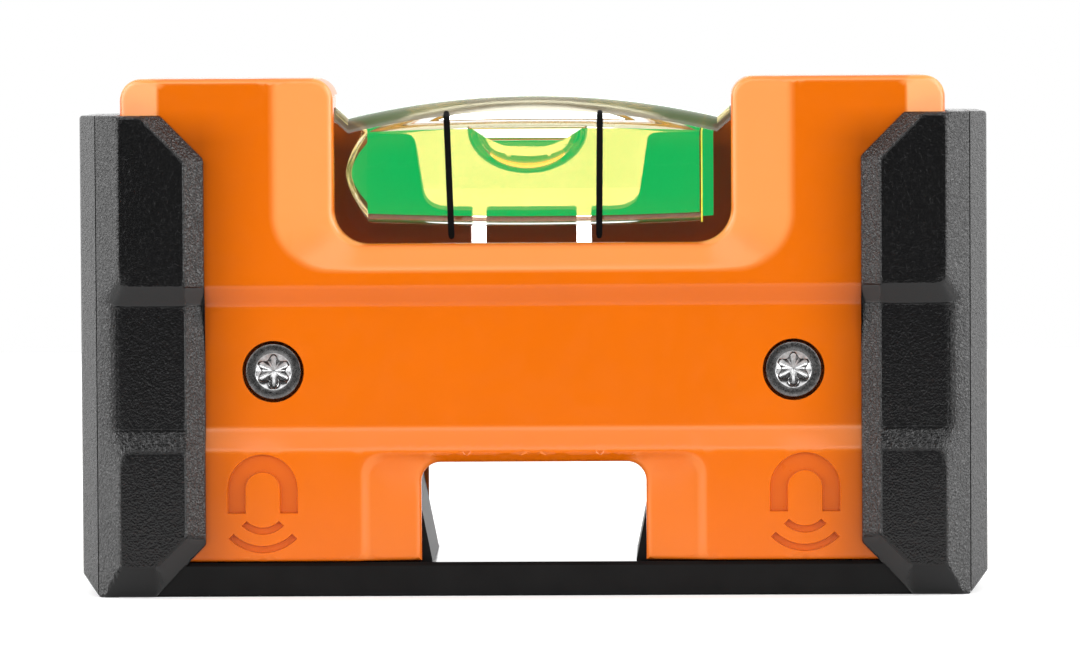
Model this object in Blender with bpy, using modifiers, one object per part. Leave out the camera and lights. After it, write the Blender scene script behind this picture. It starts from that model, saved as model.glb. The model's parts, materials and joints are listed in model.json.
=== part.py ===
"""Magnetic pocket spirit level, 80 mm long, built as separate moulded and turned pieces.

Frame: metres, +Z up, +X along the level, -Y is the front. The origin is in the middle
of the magnetic base's underside, so the level stands on z = 0.
"""
import math

import bmesh
import bpy
from mathutils import Matrix, Vector

MM = 0.001  # every size below is in millimetres and is scaled once, where a mesh is made

# Whole level
LENGTH = 80.0
DEPTH = 24.0
HEIGHT = 45.6
GAP = 0.1  # clearance between moulded pieces that touch
ARC_STEPS = 5  # segments of a rounded corner

# Orange housing, split at y = 0
BODY_HALF = 36.3
BODY_HALF_DEPTH = 10.3
BODY_BOTTOM = 3.1
WALL = 1.8
EAR_INNER = 17.5
EAR_RADIUS = 1.9
NOTCH_BOTTOM = 31.0
NOTCH_RADIUS = 3.0
SIDE_CHAMFER_WIDTH = 3.4
SIDE_CHAMFER_DEPTH = 1.5
WINDOW_HALF = 9.9
WINDOW_TOP = 11.75
WINDOW_RADIUS = 1.7
WAIST_LOW = (12.8, 14.8)  # outer and inner height of the lower step
WAIST_HIGH = (25.7, 27.3)
WAIST_DEPTH = 0.9
COVE_WIDTH = 5.2  # sloping border round the vial notch
COVE_DEPTH = 0.7
SCOOP_WIDTH = 4.9  # sloping border round the lower window
SCOOP_DEPTH = 0.7

# Rear housing, seen through the vial
REAR_SHOULDER = 41.6
REAR_SHOULDER_HALF = 10.6
REAR_SILL = 32.7
REAR_SILL_HALF = 9.5
REAR_SLOT_CENTRE = 4.7
REAR_SLOT_WIDTH = 1.35

# End caps
CAP_INNER = 29.0
CAP_OUTER = 0.5 * LENGTH
CAP_TOP = 42.4
CAP_HALF_DEPTH = 0.5 * DEPTH
CAP_CHAMFER_DEPTH = 1.7
CAP_POCKET_HALF = 10.45
CAP_POCKET_END = 36.6
CAP_SEAM = 38.4

# Base rail
RAIL_TOP = 3.0
RAIL_HALF = 36.2
RAIL_EDGE = 0.3
UPRIGHT_HALF_DEPTH = 8.2
UPRIGHT_TOP = 12.0
UPRIGHT_INNER = (8.8, 10.8)  # flank at the rail and at the top
UPRIGHT_OUTER = 28.0
POST_HALF_WIDTH = 3.3
POST_HALF_DEPTH = 4.0
POST_TOP = 23.2

# Magnets and their steel keepers
MAGNET_LENGTH = (12.15, 23.85)
MAGNET_HALF_DEPTH = 4.05
MAGNET_HEIGHT = (0.1, 4.2)
KEEPER_HEIGHT = (4.3, 5.4)

# Screws
SCREW_X = 22.9
SCREW_Z = 19.8
SCREW_HEAD_RADIUS = 2.5
SCREW_HEAD_DEPTH = 1.6
SCREW_SHANK_RADIUS = 1.15
SCREW_LENGTH = 14.0
SCREW_RECESS_RADIUS = 1.4
SCREW_RECESS_WAIST = 0.99
SCREW_RECESS_DEPTH = 1.0
SCREW_SINK = 0.35  # head below the waist's face
COUNTERBORE_RADIUS = 2.7
CLEARANCE_RADIUS = 1.5
PILOT_RADIUS = 1.3
BOSS_RADIUS = 3.0
TURN_STEPS = 24

# Vial
VIAL_HALF = 18.6
VIAL_HALF_DEPTH = 6.5
VIAL_BOTTOM = 30.2
VIAL_CROWN = 43.9
VIAL_SHOULDER = (16.3, 42.0)
VIAL_COLLAR = (17.4, 43.0)
BORE_AXIS = 37.1
BORE_RADIUS = 4.8
BARREL_RADIUS = 300.0
BORE_LEFT = -16.75
BORE_CONE_START = -14.7
BORE_CONE_RADIUS = 3.4
PLUG_START = 14.9
PLUG_RADIUS = 4.1
LINE_CENTRES = {"left": -7.4, "right": 5.9}
LINE_WIDTH = 0.56
LINE_DEPTH = 0.25
BUBBLE_CENTRE = -0.55
BUBBLE_HALF = (5.45, 3.1, 1.45)
BUBBLE_TOP = 41.35
BUBBLE_CHANNEL_FLOOR = 38.1
BUBBLE_CHANNEL_HALF = 3.5


# Scene, collections and materials

def clear_scene():
    for obj in list(bpy.data.objects):
        bpy.data.objects.remove(obj, do_unlink=True)


def new_collection(name):
    collection = bpy.data.collections.new(name)
    bpy.context.scene.collection.children.link(collection)
    return collection


def material(name, colour, roughness, metallic=0.0, transmission=0.0, ior=1.45):
    mat = bpy.data.materials.new(name)
    mat.use_nodes = True
    shader = mat.node_tree.nodes["Principled BSDF"]
    shader.inputs["Base Color"].default_value = (*colour, 1.0)
    shader.inputs["Roughness"].default_value = roughness
    shader.inputs["Metallic"].default_value = metallic
    shader.inputs["Transmission Weight"].default_value = transmission
    shader.inputs["IOR"].default_value = ior
    return mat


def orange_plastic():
    return material("orange_plastic", (0.92, 0.18, 0.01), 0.42)


def grip_rubber():
    return material("grip_rubber", (0.022, 0.022, 0.023), 0.62)


def rail_plastic():
    return material("rail_plastic", (0.008, 0.008, 0.009), 0.45)


def magnet_steel():
    return material("magnet_nickel", (0.62, 0.61, 0.58), 0.28, metallic=1.0)


def keeper_steel():
    return material("keeper_steel", (0.42, 0.43, 0.44), 0.38, metallic=1.0)


def screw_steel():
    return material("screw_zinc", (0.30, 0.30, 0.31), 0.33, metallic=1.0)


def clear_acrylic():
    return material("clear_acrylic", (0.95, 0.97, 0.95), 0.02, transmission=1.0, ior=1.49)


def plug_resin():
    return material("plug_resin", (0.55, 0.62, 0.08), 0.25, transmission=0.6, ior=1.49)


def spirit():
    return material("spirit", (0.62, 0.95, 0.12), 0.02, transmission=1.0, ior=1.36)


def air():
    return material("air", (0.95, 1.0, 0.92), 0.02, transmission=1.0, ior=1.0)


def line_ink():
    return material("line_ink", (0.004, 0.004, 0.004), 0.5)


# Outlines in the XZ plane: a list of (x, z) points, counter-clockwise seen from the front

def rounded(corners):
    """Turn (x, z, radius) corners into points, with an arc at each corner that has a radius."""
    points = []
    count = len(corners)
    for i, (x, z, radius) in enumerate(corners):
        corner = Vector((x, z))
        if radius == 0:
            points.append((x, z))
            continue
        before = (Vector(corners[i - 1][:2]) - corner).normalized()
        after = (Vector(corners[(i + 1) % count][:2]) - corner).normalized()
        half_angle = 0.5 * before.angle(after)
        reach = radius / math.tan(half_angle)
        centre = corner + (before + after).normalized() * (radius / math.sin(half_angle))
        start = corner + before * reach - centre
        sweep = start.angle_signed(corner + after * reach - centre)
        for step in range(ARC_STEPS + 1):
            turn = Matrix.Rotation(-sweep * step / ARC_STEPS, 2)
            points.append(tuple(centre + turn @ start))
    return points


def both_sides(right_half):
    """Complete an outline from its right half, which runs from the bottom up to the top."""
    left_half = [(-x, z, radius) for x, z, radius in reversed(right_half)]
    return right_half + left_half


def housing_foot():
    return [
        (WINDOW_HALF, BODY_BOTTOM, 0),
        (BODY_HALF, BODY_BOTTOM, 0),
        (BODY_HALF, HEIGHT, EAR_RADIUS),
        (EAR_INNER, HEIGHT, EAR_RADIUS),
    ]


def window_roof():
    return [(-WINDOW_HALF, WINDOW_TOP, WINDOW_RADIUS), (WINDOW_HALF, WINDOW_TOP, WINDOW_RADIUS)]


def front_outline():
    right_half = housing_foot() + [(EAR_INNER, NOTCH_BOTTOM, NOTCH_RADIUS)]
    return rounded(both_sides(right_half) + window_roof())


def rear_outline():
    shoulder = [
        (EAR_INNER, REAR_SHOULDER, 0.5),
        (REAR_SHOULDER_HALF, REAR_SHOULDER, 1.0),
        (REAR_SILL_HALF, REAR_SILL, 2.4),
    ]
    slots = [
        (REAR_SLOT_CENTRE + 0.5 * REAR_SLOT_WIDTH, REAR_SILL, 0),
        (REAR_SLOT_CENTRE + 0.5 * REAR_SLOT_WIDTH, NOTCH_BOTTOM, 0),
        (REAR_SLOT_CENTRE - 0.5 * REAR_SLOT_WIDTH, NOTCH_BOTTOM, 0),
        (REAR_SLOT_CENTRE - 0.5 * REAR_SLOT_WIDTH, REAR_SILL, 0),
    ]
    return rounded(both_sides(housing_foot() + shoulder + slots) + window_roof())


def core_outline():
    """The hollow inside a housing half, open at the foot and into the window."""
    top = HEIGHT - WALL
    side = BODY_HALF - WALL
    ear = VIAL_HALF + WALL
    floor = VIAL_BOTTOM - 1.5
    half = [(side, BODY_BOTTOM - 1.0, 0), (side, top, 1.0), (ear, top, 1.0), (ear, floor, 1.0)]
    return rounded(both_sides(half))


def vial_outline():
    shoulder_x, shoulder_z = VIAL_SHOULDER
    collar_x, collar_z = VIAL_COLLAR
    sagitta = VIAL_CROWN - shoulder_z
    crown_radius = (shoulder_x ** 2 + sagitta ** 2) / (2 * sagitta)
    crown = []
    crown_steps = 16
    for step in range(crown_steps + 1):
        x = shoulder_x * (1 - 2 * step / crown_steps)
        crown.append((x, VIAL_CROWN - crown_radius + math.sqrt(crown_radius ** 2 - x ** 2)))
    right_end = [(VIAL_HALF, VIAL_BOTTOM), (VIAL_HALF, collar_z), (collar_x, collar_z)]
    left_end = [(-x, z) for x, z in reversed(right_end)]
    return right_end + crown + left_end


def cap_face_outline():
    """The flat front face of an end cap."""
    return [
        (30.5, 38.2),
        (30.5, 5.0),
        (32.6, 2.7),
        (36.0, 2.7),
        (36.3, 3.0),
        (36.3, 42.1),
        (34.2, 42.1),
    ]


def cap_side_outline():
    """The widest outline of an end cap, behind its chamfers."""
    return [
        (CAP_INNER, 38.9),
        (CAP_INNER, 4.2),
        (32.9, 0.0),
        (38.4, 0.0),
        (CAP_OUTER, 1.9),
        (CAP_OUTER, CAP_TOP),
        (32.7, CAP_TOP),
    ]


def star_outline(radius, waist):
    """A six-lobed recess: its radius swings between the lobes and the waists."""
    points = []
    steps = 48
    for step in range(steps):
        angle = 2 * math.pi * step / steps
        reach = 0.5 * (radius + waist) + 0.5 * (radius - waist) * math.cos(6 * angle)
        points.append((reach * math.cos(angle), reach * math.sin(angle)))
    return points


# Solids

def add_mesh(name, mesh, collection, mat=None):
    obj = bpy.data.objects.new(name, mesh)
    collection.objects.link(obj)
    if mat is not None:
        mesh.materials.append(mat)
    return obj


def finish_mesh(name, bm, collection, mat=None):
    bmesh.ops.recalc_face_normals(bm, faces=bm.faces)
    mesh = bpy.data.meshes.new(name)
    bm.to_mesh(mesh)
    bm.free()
    return add_mesh(name, mesh, collection, mat)


def box(name, low, high, collection, mat=None):
    bm = bmesh.new()
    bmesh.ops.create_cube(bm, size=1.0)
    size = [(b - a) * MM for a, b in zip(low, high)]
    centre = [0.5 * (a + b) * MM for a, b in zip(low, high)]
    bmesh.ops.scale(bm, vec=size, verts=bm.verts)
    bmesh.ops.translate(bm, vec=centre, verts=bm.verts)
    return finish_mesh(name, bm, collection, mat)


def plate(name, outline, low, high, collection, mat=None, turn=None):
    """Extrude an XZ outline from y = low to y = high, as a welded mesh."""
    curve = bpy.data.curves.new(name + "_outline", "CURVE")
    curve.dimensions = "2D"
    curve.fill_mode = "BOTH"
    curve.extrude = 0.5 * (high - low) * MM
    spline = curve.splines.new("POLY")
    spline.points.add(len(outline) - 1)
    for point, (x, z) in zip(spline.points, outline):
        point.co = (x * MM, z * MM, 0.0, 1.0)
    spline.use_cyclic_u = True
    guide = bpy.data.objects.new(name + "_outline", curve)
    collection.objects.link(guide)
    guide.matrix_world = Matrix.Translation((0.0, 0.5 * (low + high) * MM, 0.0)) @ Matrix.Rotation(
        math.radians(90), 4, "X"
    )
    if turn is not None:
        guide.matrix_world = turn @ guide.matrix_world
    bpy.context.view_layer.update()
    evaluated = guide.evaluated_get(bpy.context.evaluated_depsgraph_get())
    mesh = bpy.data.meshes.new_from_object(evaluated)
    mesh.transform(guide.matrix_world)
    bpy.data.objects.remove(guide, do_unlink=True)
    bm = bmesh.new()
    bm.from_mesh(mesh)
    bpy.data.meshes.remove(mesh)
    bmesh.ops.remove_doubles(bm, verts=bm.verts, dist=1e-6)
    bmesh.ops.dissolve_limit(bm, angle_limit=0.001, verts=bm.verts, edges=bm.edges)
    return finish_mesh(name, bm, collection, mat)


def loft(name, sections, collection, mat=None):
    """Skin a closed solid through outlines: each section is (y, outline) with equal counts."""
    bm = bmesh.new()
    first_y, first = sections[0]
    verts = [bm.verts.new((x * MM, first_y * MM, z * MM)) for x, z in first]
    bm.faces.new(verts)
    for y, outline in sections[1:]:
        ring = [bm.verts.new((x * MM, y * MM, z * MM)) for x, z in outline]
        for i in range(len(ring)):
            j = (i + 1) % len(ring)
            bm.faces.new((verts[i], verts[j], ring[j], ring[i]))
        verts = ring
    bm.faces.new(verts)
    return finish_mesh(name, bm, collection, mat)


def turned(name, profile, placement, collection, mat=None, steps=TURN_STEPS):
    """Spin an (r, height) profile, given from top to bottom, round its local Z axis."""
    mesh = bpy.data.meshes.new(name)
    verts = [(r * MM, 0.0, height * MM) for r, height in profile]
    edges = [(i, i + 1) for i in range(len(verts) - 1)]
    mesh.from_pydata(verts, edges, [])
    obj = add_mesh(name, mesh, collection, mat)
    obj.matrix_world = placement
    screw = obj.modifiers.new("turn", "SCREW")
    screw.steps = steps
    screw.render_steps = steps
    screw.use_merge_vertices = True
    screw.merge_threshold = 1e-6
    screw.use_smooth_shade = False
    return obj


def cylinder_along_y(name, radius, x, z, low, high, collection):
    profile = [(0, high), (radius, high), (radius, low), (0, low)]
    placement = Matrix.Translation((x * MM, 0.0, z * MM)) @ Matrix.Rotation(math.radians(-90), 4, "X")
    return turned(name, profile, placement, collection)


def boolean(target, tool, operation):
    modifier = target.modifiers.new(operation.lower() + "_" + tool.name, "BOOLEAN")
    modifier.operation = operation
    modifier.solver = "EXACT"
    modifier.object = tool
    tool.hide_render = True
    tool.display_type = "WIRE"


def cut(target, tool):
    boolean(target, tool, "DIFFERENCE")


def join(target, tool):
    boolean(target, tool, "UNION")


def keep(target, tool):
    boolean(target, tool, "INTERSECT")


def soften(obj, width, segments=2, angle=30):
    bevel = obj.modifiers.new("soft_edges", "BEVEL")
    bevel.width = width * MM
    bevel.segments = segments
    bevel.limit_method = "ANGLE"
    bevel.angle_limit = math.radians(angle)


def shade_round(obj, angle=35):
    obj.data.shade_smooth()
    obj.data.set_sharp_from_angle(angle=math.radians(angle))


# Housing

def groove_cutter(name, face, depth, facing, collection):
    """A long prism that sinks the waist into a face at y = facing * face."""
    over = 1.0
    slope_out = over / depth
    low_out = WAIST_LOW[0] - slope_out * (WAIST_LOW[1] - WAIST_LOW[0])
    high_out = WAIST_HIGH[1] + slope_out * (WAIST_HIGH[1] - WAIST_HIGH[0])
    section = [
        (facing * (face - depth), WAIST_LOW[1]),
        (facing * (face + over), low_out),
        (facing * (face + over), high_out),
        (facing * (face - depth), WAIST_HIGH[0]),
    ]
    along_x = Matrix.Rotation(math.radians(90), 4, "Z")
    reach = 0.5 * LENGTH + 2.0
    return plate(name, section, -reach, reach, collection, turn=along_x)


def side_chamfer_cutter(name, side, facing, collection):
    """A prism along Z that takes the housing's outer vertical edge off."""
    slope = SIDE_CHAMFER_WIDTH / SIDE_CHAMFER_DEPTH
    over = 1.0
    face = BODY_HALF_DEPTH
    triangle = [
        (BODY_HALF - SIDE_CHAMFER_WIDTH - over * slope, face + over),
        (BODY_HALF + over, face + over),
        (BODY_HALF + over, face - SIDE_CHAMFER_DEPTH - over / slope),
    ]
    bottom = [(side * x * MM, facing * y * MM, -MM) for x, y in triangle]
    bm = bmesh.new()
    face_verts = [bm.verts.new(co) for co in bottom]
    base = bm.faces.new(face_verts)
    top = bmesh.ops.extrude_face_region(bm, geom=[base])
    lifted = [item for item in top["geom"] if isinstance(item, bmesh.types.BMVert)]
    bmesh.ops.translate(bm, vec=(0.0, 0.0, (HEIGHT + 2.0) * MM), verts=lifted)
    return finish_mesh(name, bm, collection)


def border_cutter(name, half, edge, width, depth, facing, radius, collection):
    """A tapered tool that slopes a face down towards a notch or a window in it."""
    over = 1.0
    inside = 0.3  # how far the slope runs on past the opening's edge
    sign = 1.0 if edge > 0.5 * HEIGHT else -1.0
    open_end = HEIGHT + 4.0 if sign > 0 else -4.0

    def outline(grow):
        floor = edge - sign * 0.45 * grow
        corners = [
            (half + grow, floor, radius + 0.5 * max(grow, 0.0)),
            (half + grow, open_end, 0),
            (-half - grow, open_end, 0),
            (-half - grow, floor, radius + 0.5 * max(grow, 0.0)),
        ]
        return rounded(corners if sign > 0 else corners[::-1])

    face = facing * BODY_HALF_DEPTH
    sections = [
        (face + facing * over, outline(width * (1 + over / depth))),
        (face - facing * depth * (1 + inside / width), outline(-inside)),
    ]
    return loft(name, sections, collection)


def housing_half(name, outline, facing, parts, tools, mat):
    """One moulded half: facing is -1 for the front and 1 for the rear."""
    outer = facing * BODY_HALF_DEPTH
    inner = facing * GAP
    shell = plate(name, outline, min(outer, inner), max(outer, inner), parts, mat)
    for side, label in ((-1, "left"), (1, "right")):
        cut(shell, side_chamfer_cutter(f"{name}_chamfer_{label}", side, facing, tools))
    cut(shell, groove_cutter(f"{name}_waist", BODY_HALF_DEPTH, WAIST_DEPTH, facing, tools))
    window = (WINDOW_HALF, WINDOW_TOP, SCOOP_WIDTH, SCOOP_DEPTH)
    cut(shell, border_cutter(f"{name}_scoop", *window, facing, WINDOW_RADIUS, tools))

    core_deep = facing * (BODY_HALF_DEPTH - WALL)
    core_open = -facing * GAP
    core_range = (min(core_deep, core_open), max(core_deep, core_open))
    cut(shell, plate(f"{name}_core", core_outline(), *core_range, tools))

    pocket_deep = facing * (VIAL_HALF_DEPTH + 3 * GAP)
    low = (-VIAL_HALF - 3 * GAP, min(pocket_deep, core_open), VIAL_BOTTOM - 2 * GAP)
    high = (VIAL_HALF + 3 * GAP, max(pocket_deep, core_open), VIAL_CROWN + 2 * GAP)
    cut(shell, box(f"{name}_vial_pocket", low, high, tools))

    for side, label in ((-1, "left"), (1, "right")):
        x = side * SCREW_X
        ends = sorted((facing * (POST_HALF_DEPTH + GAP), facing * (BODY_HALF_DEPTH - WALL + 0.4)))
        join(shell, cylinder_along_y(f"{name}_boss_{label}", BOSS_RADIUS, x, SCREW_Z, *ends, tools))
    return shell


def front_shell(parts, tools, mat):
    shell = housing_half("front_shell", front_outline(), -1, parts, tools, mat)
    notch = (EAR_INNER, NOTCH_BOTTOM, COVE_WIDTH, COVE_DEPTH)
    cut(shell, border_cutter("front_shell_cove", *notch, -1, NOTCH_RADIUS, tools))
    seat = -BODY_HALF_DEPTH + WAIST_DEPTH + SCREW_SINK + SCREW_HEAD_DEPTH
    for side, label in ((-1, "left"), (1, "right")):
        x = side * SCREW_X
        wide = (COUNTERBORE_RADIUS, x, SCREW_Z, -CAP_HALF_DEPTH, seat)
        narrow = (CLEARANCE_RADIUS, x, SCREW_Z, -CAP_HALF_DEPTH, 0.0)
        cut(shell, cylinder_along_y(f"counterbore_{label}", *wide, tools))
        cut(shell, cylinder_along_y(f"clearance_{label}", *narrow, tools))
    return shell


def rear_shell(parts, tools, mat):
    shell = housing_half("rear_shell", rear_outline(), 1, parts, tools, mat)
    for side, label in ((-1, "left"), (1, "right")):
        hole = (PILOT_RADIUS, side * SCREW_X, SCREW_Z, 0.0, BODY_HALF_DEPTH - WAIST_DEPTH - 1.2)
        cut(shell, cylinder_along_y(f"pilot_{label}", *hole, tools))
    return shell


# End caps

def cap_blank(name, side, collection, mat=None):
    """A whole end cap with its chamfers and waist, before it is split into halves."""
    face = cap_face_outline()
    face = [(side * x, z) for x, z in cap_face_outline()]
    rim = [(side * x, z) for x, z in cap_side_outline()]
    shoulder = CAP_HALF_DEPTH - CAP_CHAMFER_DEPTH
    sections = [(-CAP_HALF_DEPTH, face), (-shoulder, rim), (shoulder, rim), (CAP_HALF_DEPTH, face)]
    return loft(name, sections, collection, mat)


def hollow_cap(cap, side, tools):
    low = (min(side * (CAP_INNER - 1.0), side * CAP_POCKET_END), -CAP_POCKET_HALF, -1.0)
    high = (max(side * (CAP_INNER - 1.0), side * CAP_POCKET_END), CAP_POCKET_HALF, HEIGHT)
    cut(cap, box(cap.name + "_pocket", low, high, tools))
    for facing, label in ((-1, "front"), (1, "rear")):
        name = f"{cap.name}_waist_{label}"
        cut(cap, groove_cutter(name, CAP_HALF_DEPTH, WAIST_DEPTH, facing, tools))


def seam_box(name, side, clearance, tools):
    """The region of an end cap that its front half fills."""
    inner = side * (CAP_INNER - 1.0)
    seam = side * (CAP_SEAM + clearance)
    low = (min(inner, seam), -CAP_HALF_DEPTH - 1.0, -1.0)
    high = (max(inner, seam), clearance, HEIGHT)
    return box(name, low, high, tools)


def end_caps(parts, tools, mat):
    for side, label in ((-1, "left"), (1, "right")):
        front = cap_blank(f"end_cap_{label}_front", side, parts, mat)
        hollow_cap(front, side, tools)
        keep(front, seam_box(f"{front.name}_seam", side, -0.5 * GAP, tools))
        rear = cap_blank(f"end_cap_{label}_rear", side, parts, mat)
        hollow_cap(rear, side, tools)
        cut(rear, seam_box(f"{rear.name}_seam", side, 0.5 * GAP, tools))


# Base

def base_rail(parts, tools, mat):
    low = (-RAIL_HALF, -BODY_HALF_DEPTH + GAP, 0.0)
    high = (RAIL_HALF, BODY_HALF_DEPTH - GAP, RAIL_TOP)
    rail = box("base_rail", low, high, parts, mat)
    soften(rail, RAIL_EDGE, segments=1)
    for side, label in ((-1, "left"), (1, "right")):
        sunk = RAIL_TOP - 1.0
        upright = [
            (side * UPRIGHT_INNER[0], sunk),
            (side * UPRIGHT_OUTER, sunk),
            (side * UPRIGHT_OUTER, UPRIGHT_TOP),
            (side * UPRIGHT_INNER[1], UPRIGHT_TOP),
        ]
        depth = (-UPRIGHT_HALF_DEPTH, UPRIGHT_HALF_DEPTH)
        join(rail, plate(f"upright_{label}", upright, *depth, tools))
        post_low = (side * SCREW_X - POST_HALF_WIDTH, -POST_HALF_DEPTH, UPRIGHT_TOP - 1.0)
        post_high = (side * SCREW_X + POST_HALF_WIDTH, POST_HALF_DEPTH, POST_TOP)
        join(rail, box(f"post_{label}", post_low, post_high, tools))
        hole = (CLEARANCE_RADIUS, side * SCREW_X, SCREW_Z, -POST_HALF_DEPTH - 1.0, POST_HALF_DEPTH + 1.0)
        cut(rail, cylinder_along_y(f"post_hole_{label}", *hole, tools))
        ends = sorted((side * (MAGNET_LENGTH[0] - GAP), side * (MAGNET_LENGTH[1] + GAP)))
        pocket_low = (ends[0], -MAGNET_HALF_DEPTH - GAP, -1.0)
        pocket_high = (ends[1], MAGNET_HALF_DEPTH + GAP, KEEPER_HEIGHT[1] + GAP)
        cut(rail, box(f"magnet_pocket_{label}", pocket_low, pocket_high, tools))
    return rail


def magnets(parts, magnet_mat, keeper_mat):
    for side, label in ((-1, "left"), (1, "right")):
        ends = sorted((side * MAGNET_LENGTH[0], side * MAGNET_LENGTH[1]))
        for name, height, mat in (
            (f"magnet_{label}", MAGNET_HEIGHT, magnet_mat),
            (f"keeper_{label}", KEEPER_HEIGHT, keeper_mat),
        ):
            low = (ends[0], -MAGNET_HALF_DEPTH, height[0])
            high = (ends[1], MAGNET_HALF_DEPTH, height[1])
            piece = box(name, low, high, parts, mat)
            soften(piece, 0.2, segments=1)


# Fasteners

def screws(parts, tools, mat):
    """Pan-head screws with a six-lobed recess, driven in from the front."""
    head_face = BODY_HALF_DEPTH - WAIST_DEPTH - SCREW_SINK
    neck = head_face - SCREW_HEAD_DEPTH + 0.1
    edge = 0.4
    profile = [
        (0, head_face),
        (SCREW_HEAD_RADIUS - edge, head_face),
        (SCREW_HEAD_RADIUS, head_face - edge),
        (SCREW_HEAD_RADIUS, neck),
        (SCREW_SHANK_RADIUS, neck),
        (SCREW_SHANK_RADIUS, head_face - SCREW_LENGTH + 1.0),
        (0, head_face - SCREW_LENGTH),
    ]
    for side, label in ((-1, "left"), (1, "right")):
        place = Matrix.Translation((side * SCREW_X * MM, 0.0, SCREW_Z * MM))
        axis = Matrix.Rotation(math.radians(90), 4, "X")
        screw = turned(f"screw_{label}", profile, place @ axis, parts, mat)
        star = star_outline(SCREW_RECESS_RADIUS, SCREW_RECESS_WAIST)
        ends = (-head_face - 1.0, -head_face + SCREW_RECESS_DEPTH)
        cut(screw, plate(f"screw_{label}_recess", star, *ends, tools, turn=place))
        shade_round(screw)


# Vial

def barrel(name, low, high, shrink, collection, mat=None):
    """A barrel along X, widest in the middle, with a cone at its left end."""
    def radius_at(x):
        return BORE_RADIUS - shrink - x * x / (2 * BARREL_RADIUS)

    stations = 12
    profile = [(0, high)]
    for step in range(stations + 1):
        x = high + (BORE_CONE_START - high) * step / stations
        profile.append((radius_at(x), x))
    profile += [(BORE_CONE_RADIUS - shrink, low), (0, low)]
    placement = Matrix.Translation((0.0, 0.0, BORE_AXIS * MM)) @ Matrix.Rotation(math.radians(90), 4, "Y")
    return turned(name, profile, placement, collection, mat)


def vial_block(parts, tools, mat):
    block = plate("vial_block", vial_outline(), -VIAL_HALF_DEPTH, VIAL_HALF_DEPTH, parts, mat)
    cut(block, barrel("vial_bore", BORE_LEFT, VIAL_HALF + 1.0, 0.0, tools))
    for label, centre in LINE_CENTRES.items():
        cut(block, line_hoop(f"line_groove_{label}", centre, 0.5 * GAP, tools))
    return block


def line_hoop(name, centre, clearance, collection, mat=None):
    """A thin hoop round the block: its outline is an inner and an outer rectangle, lofted."""
    sagitta = VIAL_CROWN - VIAL_SHOULDER[1]
    crown_radius = (VIAL_SHOULDER[0] ** 2 + sagitta ** 2) / (2 * sagitta)
    top = VIAL_CROWN - crown_radius + math.sqrt(crown_radius ** 2 - (abs(centre) + 0.5) ** 2)
    half_width = 0.5 * LINE_WIDTH + clearance
    inner = (VIAL_HALF_DEPTH - LINE_DEPTH, VIAL_BOTTOM + LINE_DEPTH, top - LINE_DEPTH)
    outer = (VIAL_HALF_DEPTH, VIAL_BOTTOM, top)
    if clearance:
        inner = (inner[0] - clearance, inner[1] + clearance, inner[2] - clearance)
        outer = (outer[0] + 1.0, outer[1] - 1.0, outer[2] + 1.0)
    bm = bmesh.new()
    rings = []
    for x, (half_depth, low, high) in (
        (centre - half_width, outer),
        (centre + half_width, outer),
        (centre + half_width, inner),
        (centre - half_width, inner),
    ):
        corners = ((-half_depth, low), (half_depth, low), (half_depth, high), (-half_depth, high))
        rings.append([bm.verts.new((x * MM, y * MM, z * MM)) for y, z in corners])
    for i, ring in enumerate(rings):
        after = rings[(i + 1) % len(rings)]
        for j in range(4):
            k = (j + 1) % 4
            bm.faces.new((ring[j], ring[k], after[k], after[j]))
    return finish_mesh(name, bm, collection, mat)


def vial_lines(parts, mat):
    for label, centre in LINE_CENTRES.items():
        line_hoop(f"vial_line_{label}", centre, 0.0, parts, mat)


def vial_plug(parts, mat):
    profile = [
        (0, VIAL_HALF),
        (PLUG_RADIUS - 0.3, VIAL_HALF),
        (PLUG_RADIUS, VIAL_HALF - 0.3),
        (PLUG_RADIUS, PLUG_START),
        (0, PLUG_START),
    ]
    placement = Matrix.Translation((0.0, 0.0, BORE_AXIS * MM)) @ Matrix.Rotation(math.radians(90), 4, "Y")
    return turned("vial_plug", profile, placement, parts, mat)


def vial_fluid(parts, tools, mat):
    fluid = barrel("vial_fluid", BORE_LEFT + GAP, PLUG_START - GAP, GAP, parts, mat)
    low = (BORE_LEFT - 1.0, -BUBBLE_CHANNEL_HALF, BUBBLE_CHANNEL_FLOOR)
    high = (PLUG_START + 1.0, BUBBLE_CHANNEL_HALF, HEIGHT)
    cut(fluid, box("bubble_channel", low, high, tools))
    return fluid


def bubble(parts, mat):
    """The air bubble, a flattened ellipsoid whose origin is on its travel line."""
    bm = bmesh.new()
    bmesh.ops.create_uvsphere(bm, u_segments=24, v_segments=14, radius=1.0)
    bmesh.ops.scale(bm, vec=[half * MM for half in BUBBLE_HALF], verts=bm.verts)
    obj = finish_mesh("bubble", bm, parts, mat)
    obj.location = (BUBBLE_CENTRE * MM, 0.0, (BUBBLE_TOP - BUBBLE_HALF[2]) * MM)
    shade_round(obj)
    return obj


def build():
    clear_scene()
    parts = new_collection("pocket_spirit_level")
    tools = new_collection("cutters")
    orange = orange_plastic()
    front_shell(parts, tools, orange)
    rear_shell(parts, tools, orange)
    end_caps(parts, tools, grip_rubber())
    base_rail(parts, tools, rail_plastic())
    magnets(parts, magnet_steel(), keeper_steel())
    screws(parts, tools, screw_steel())
    vial_block(parts, tools, clear_acrylic())
    vial_lines(parts, line_ink())
    vial_plug(parts, plug_resin())
    vial_fluid(parts, tools, spirit())
    bubble(parts, air())


build()
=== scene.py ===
"""The looks of the magnetic pocket spirit level: moulded housing, grained end caps, vial."""
import json
import math

import bmesh
import bpy
import numpy as np
from mathutils import Matrix, Vector
from mathutils.geometry import delaunay_2d_cdt

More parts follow.
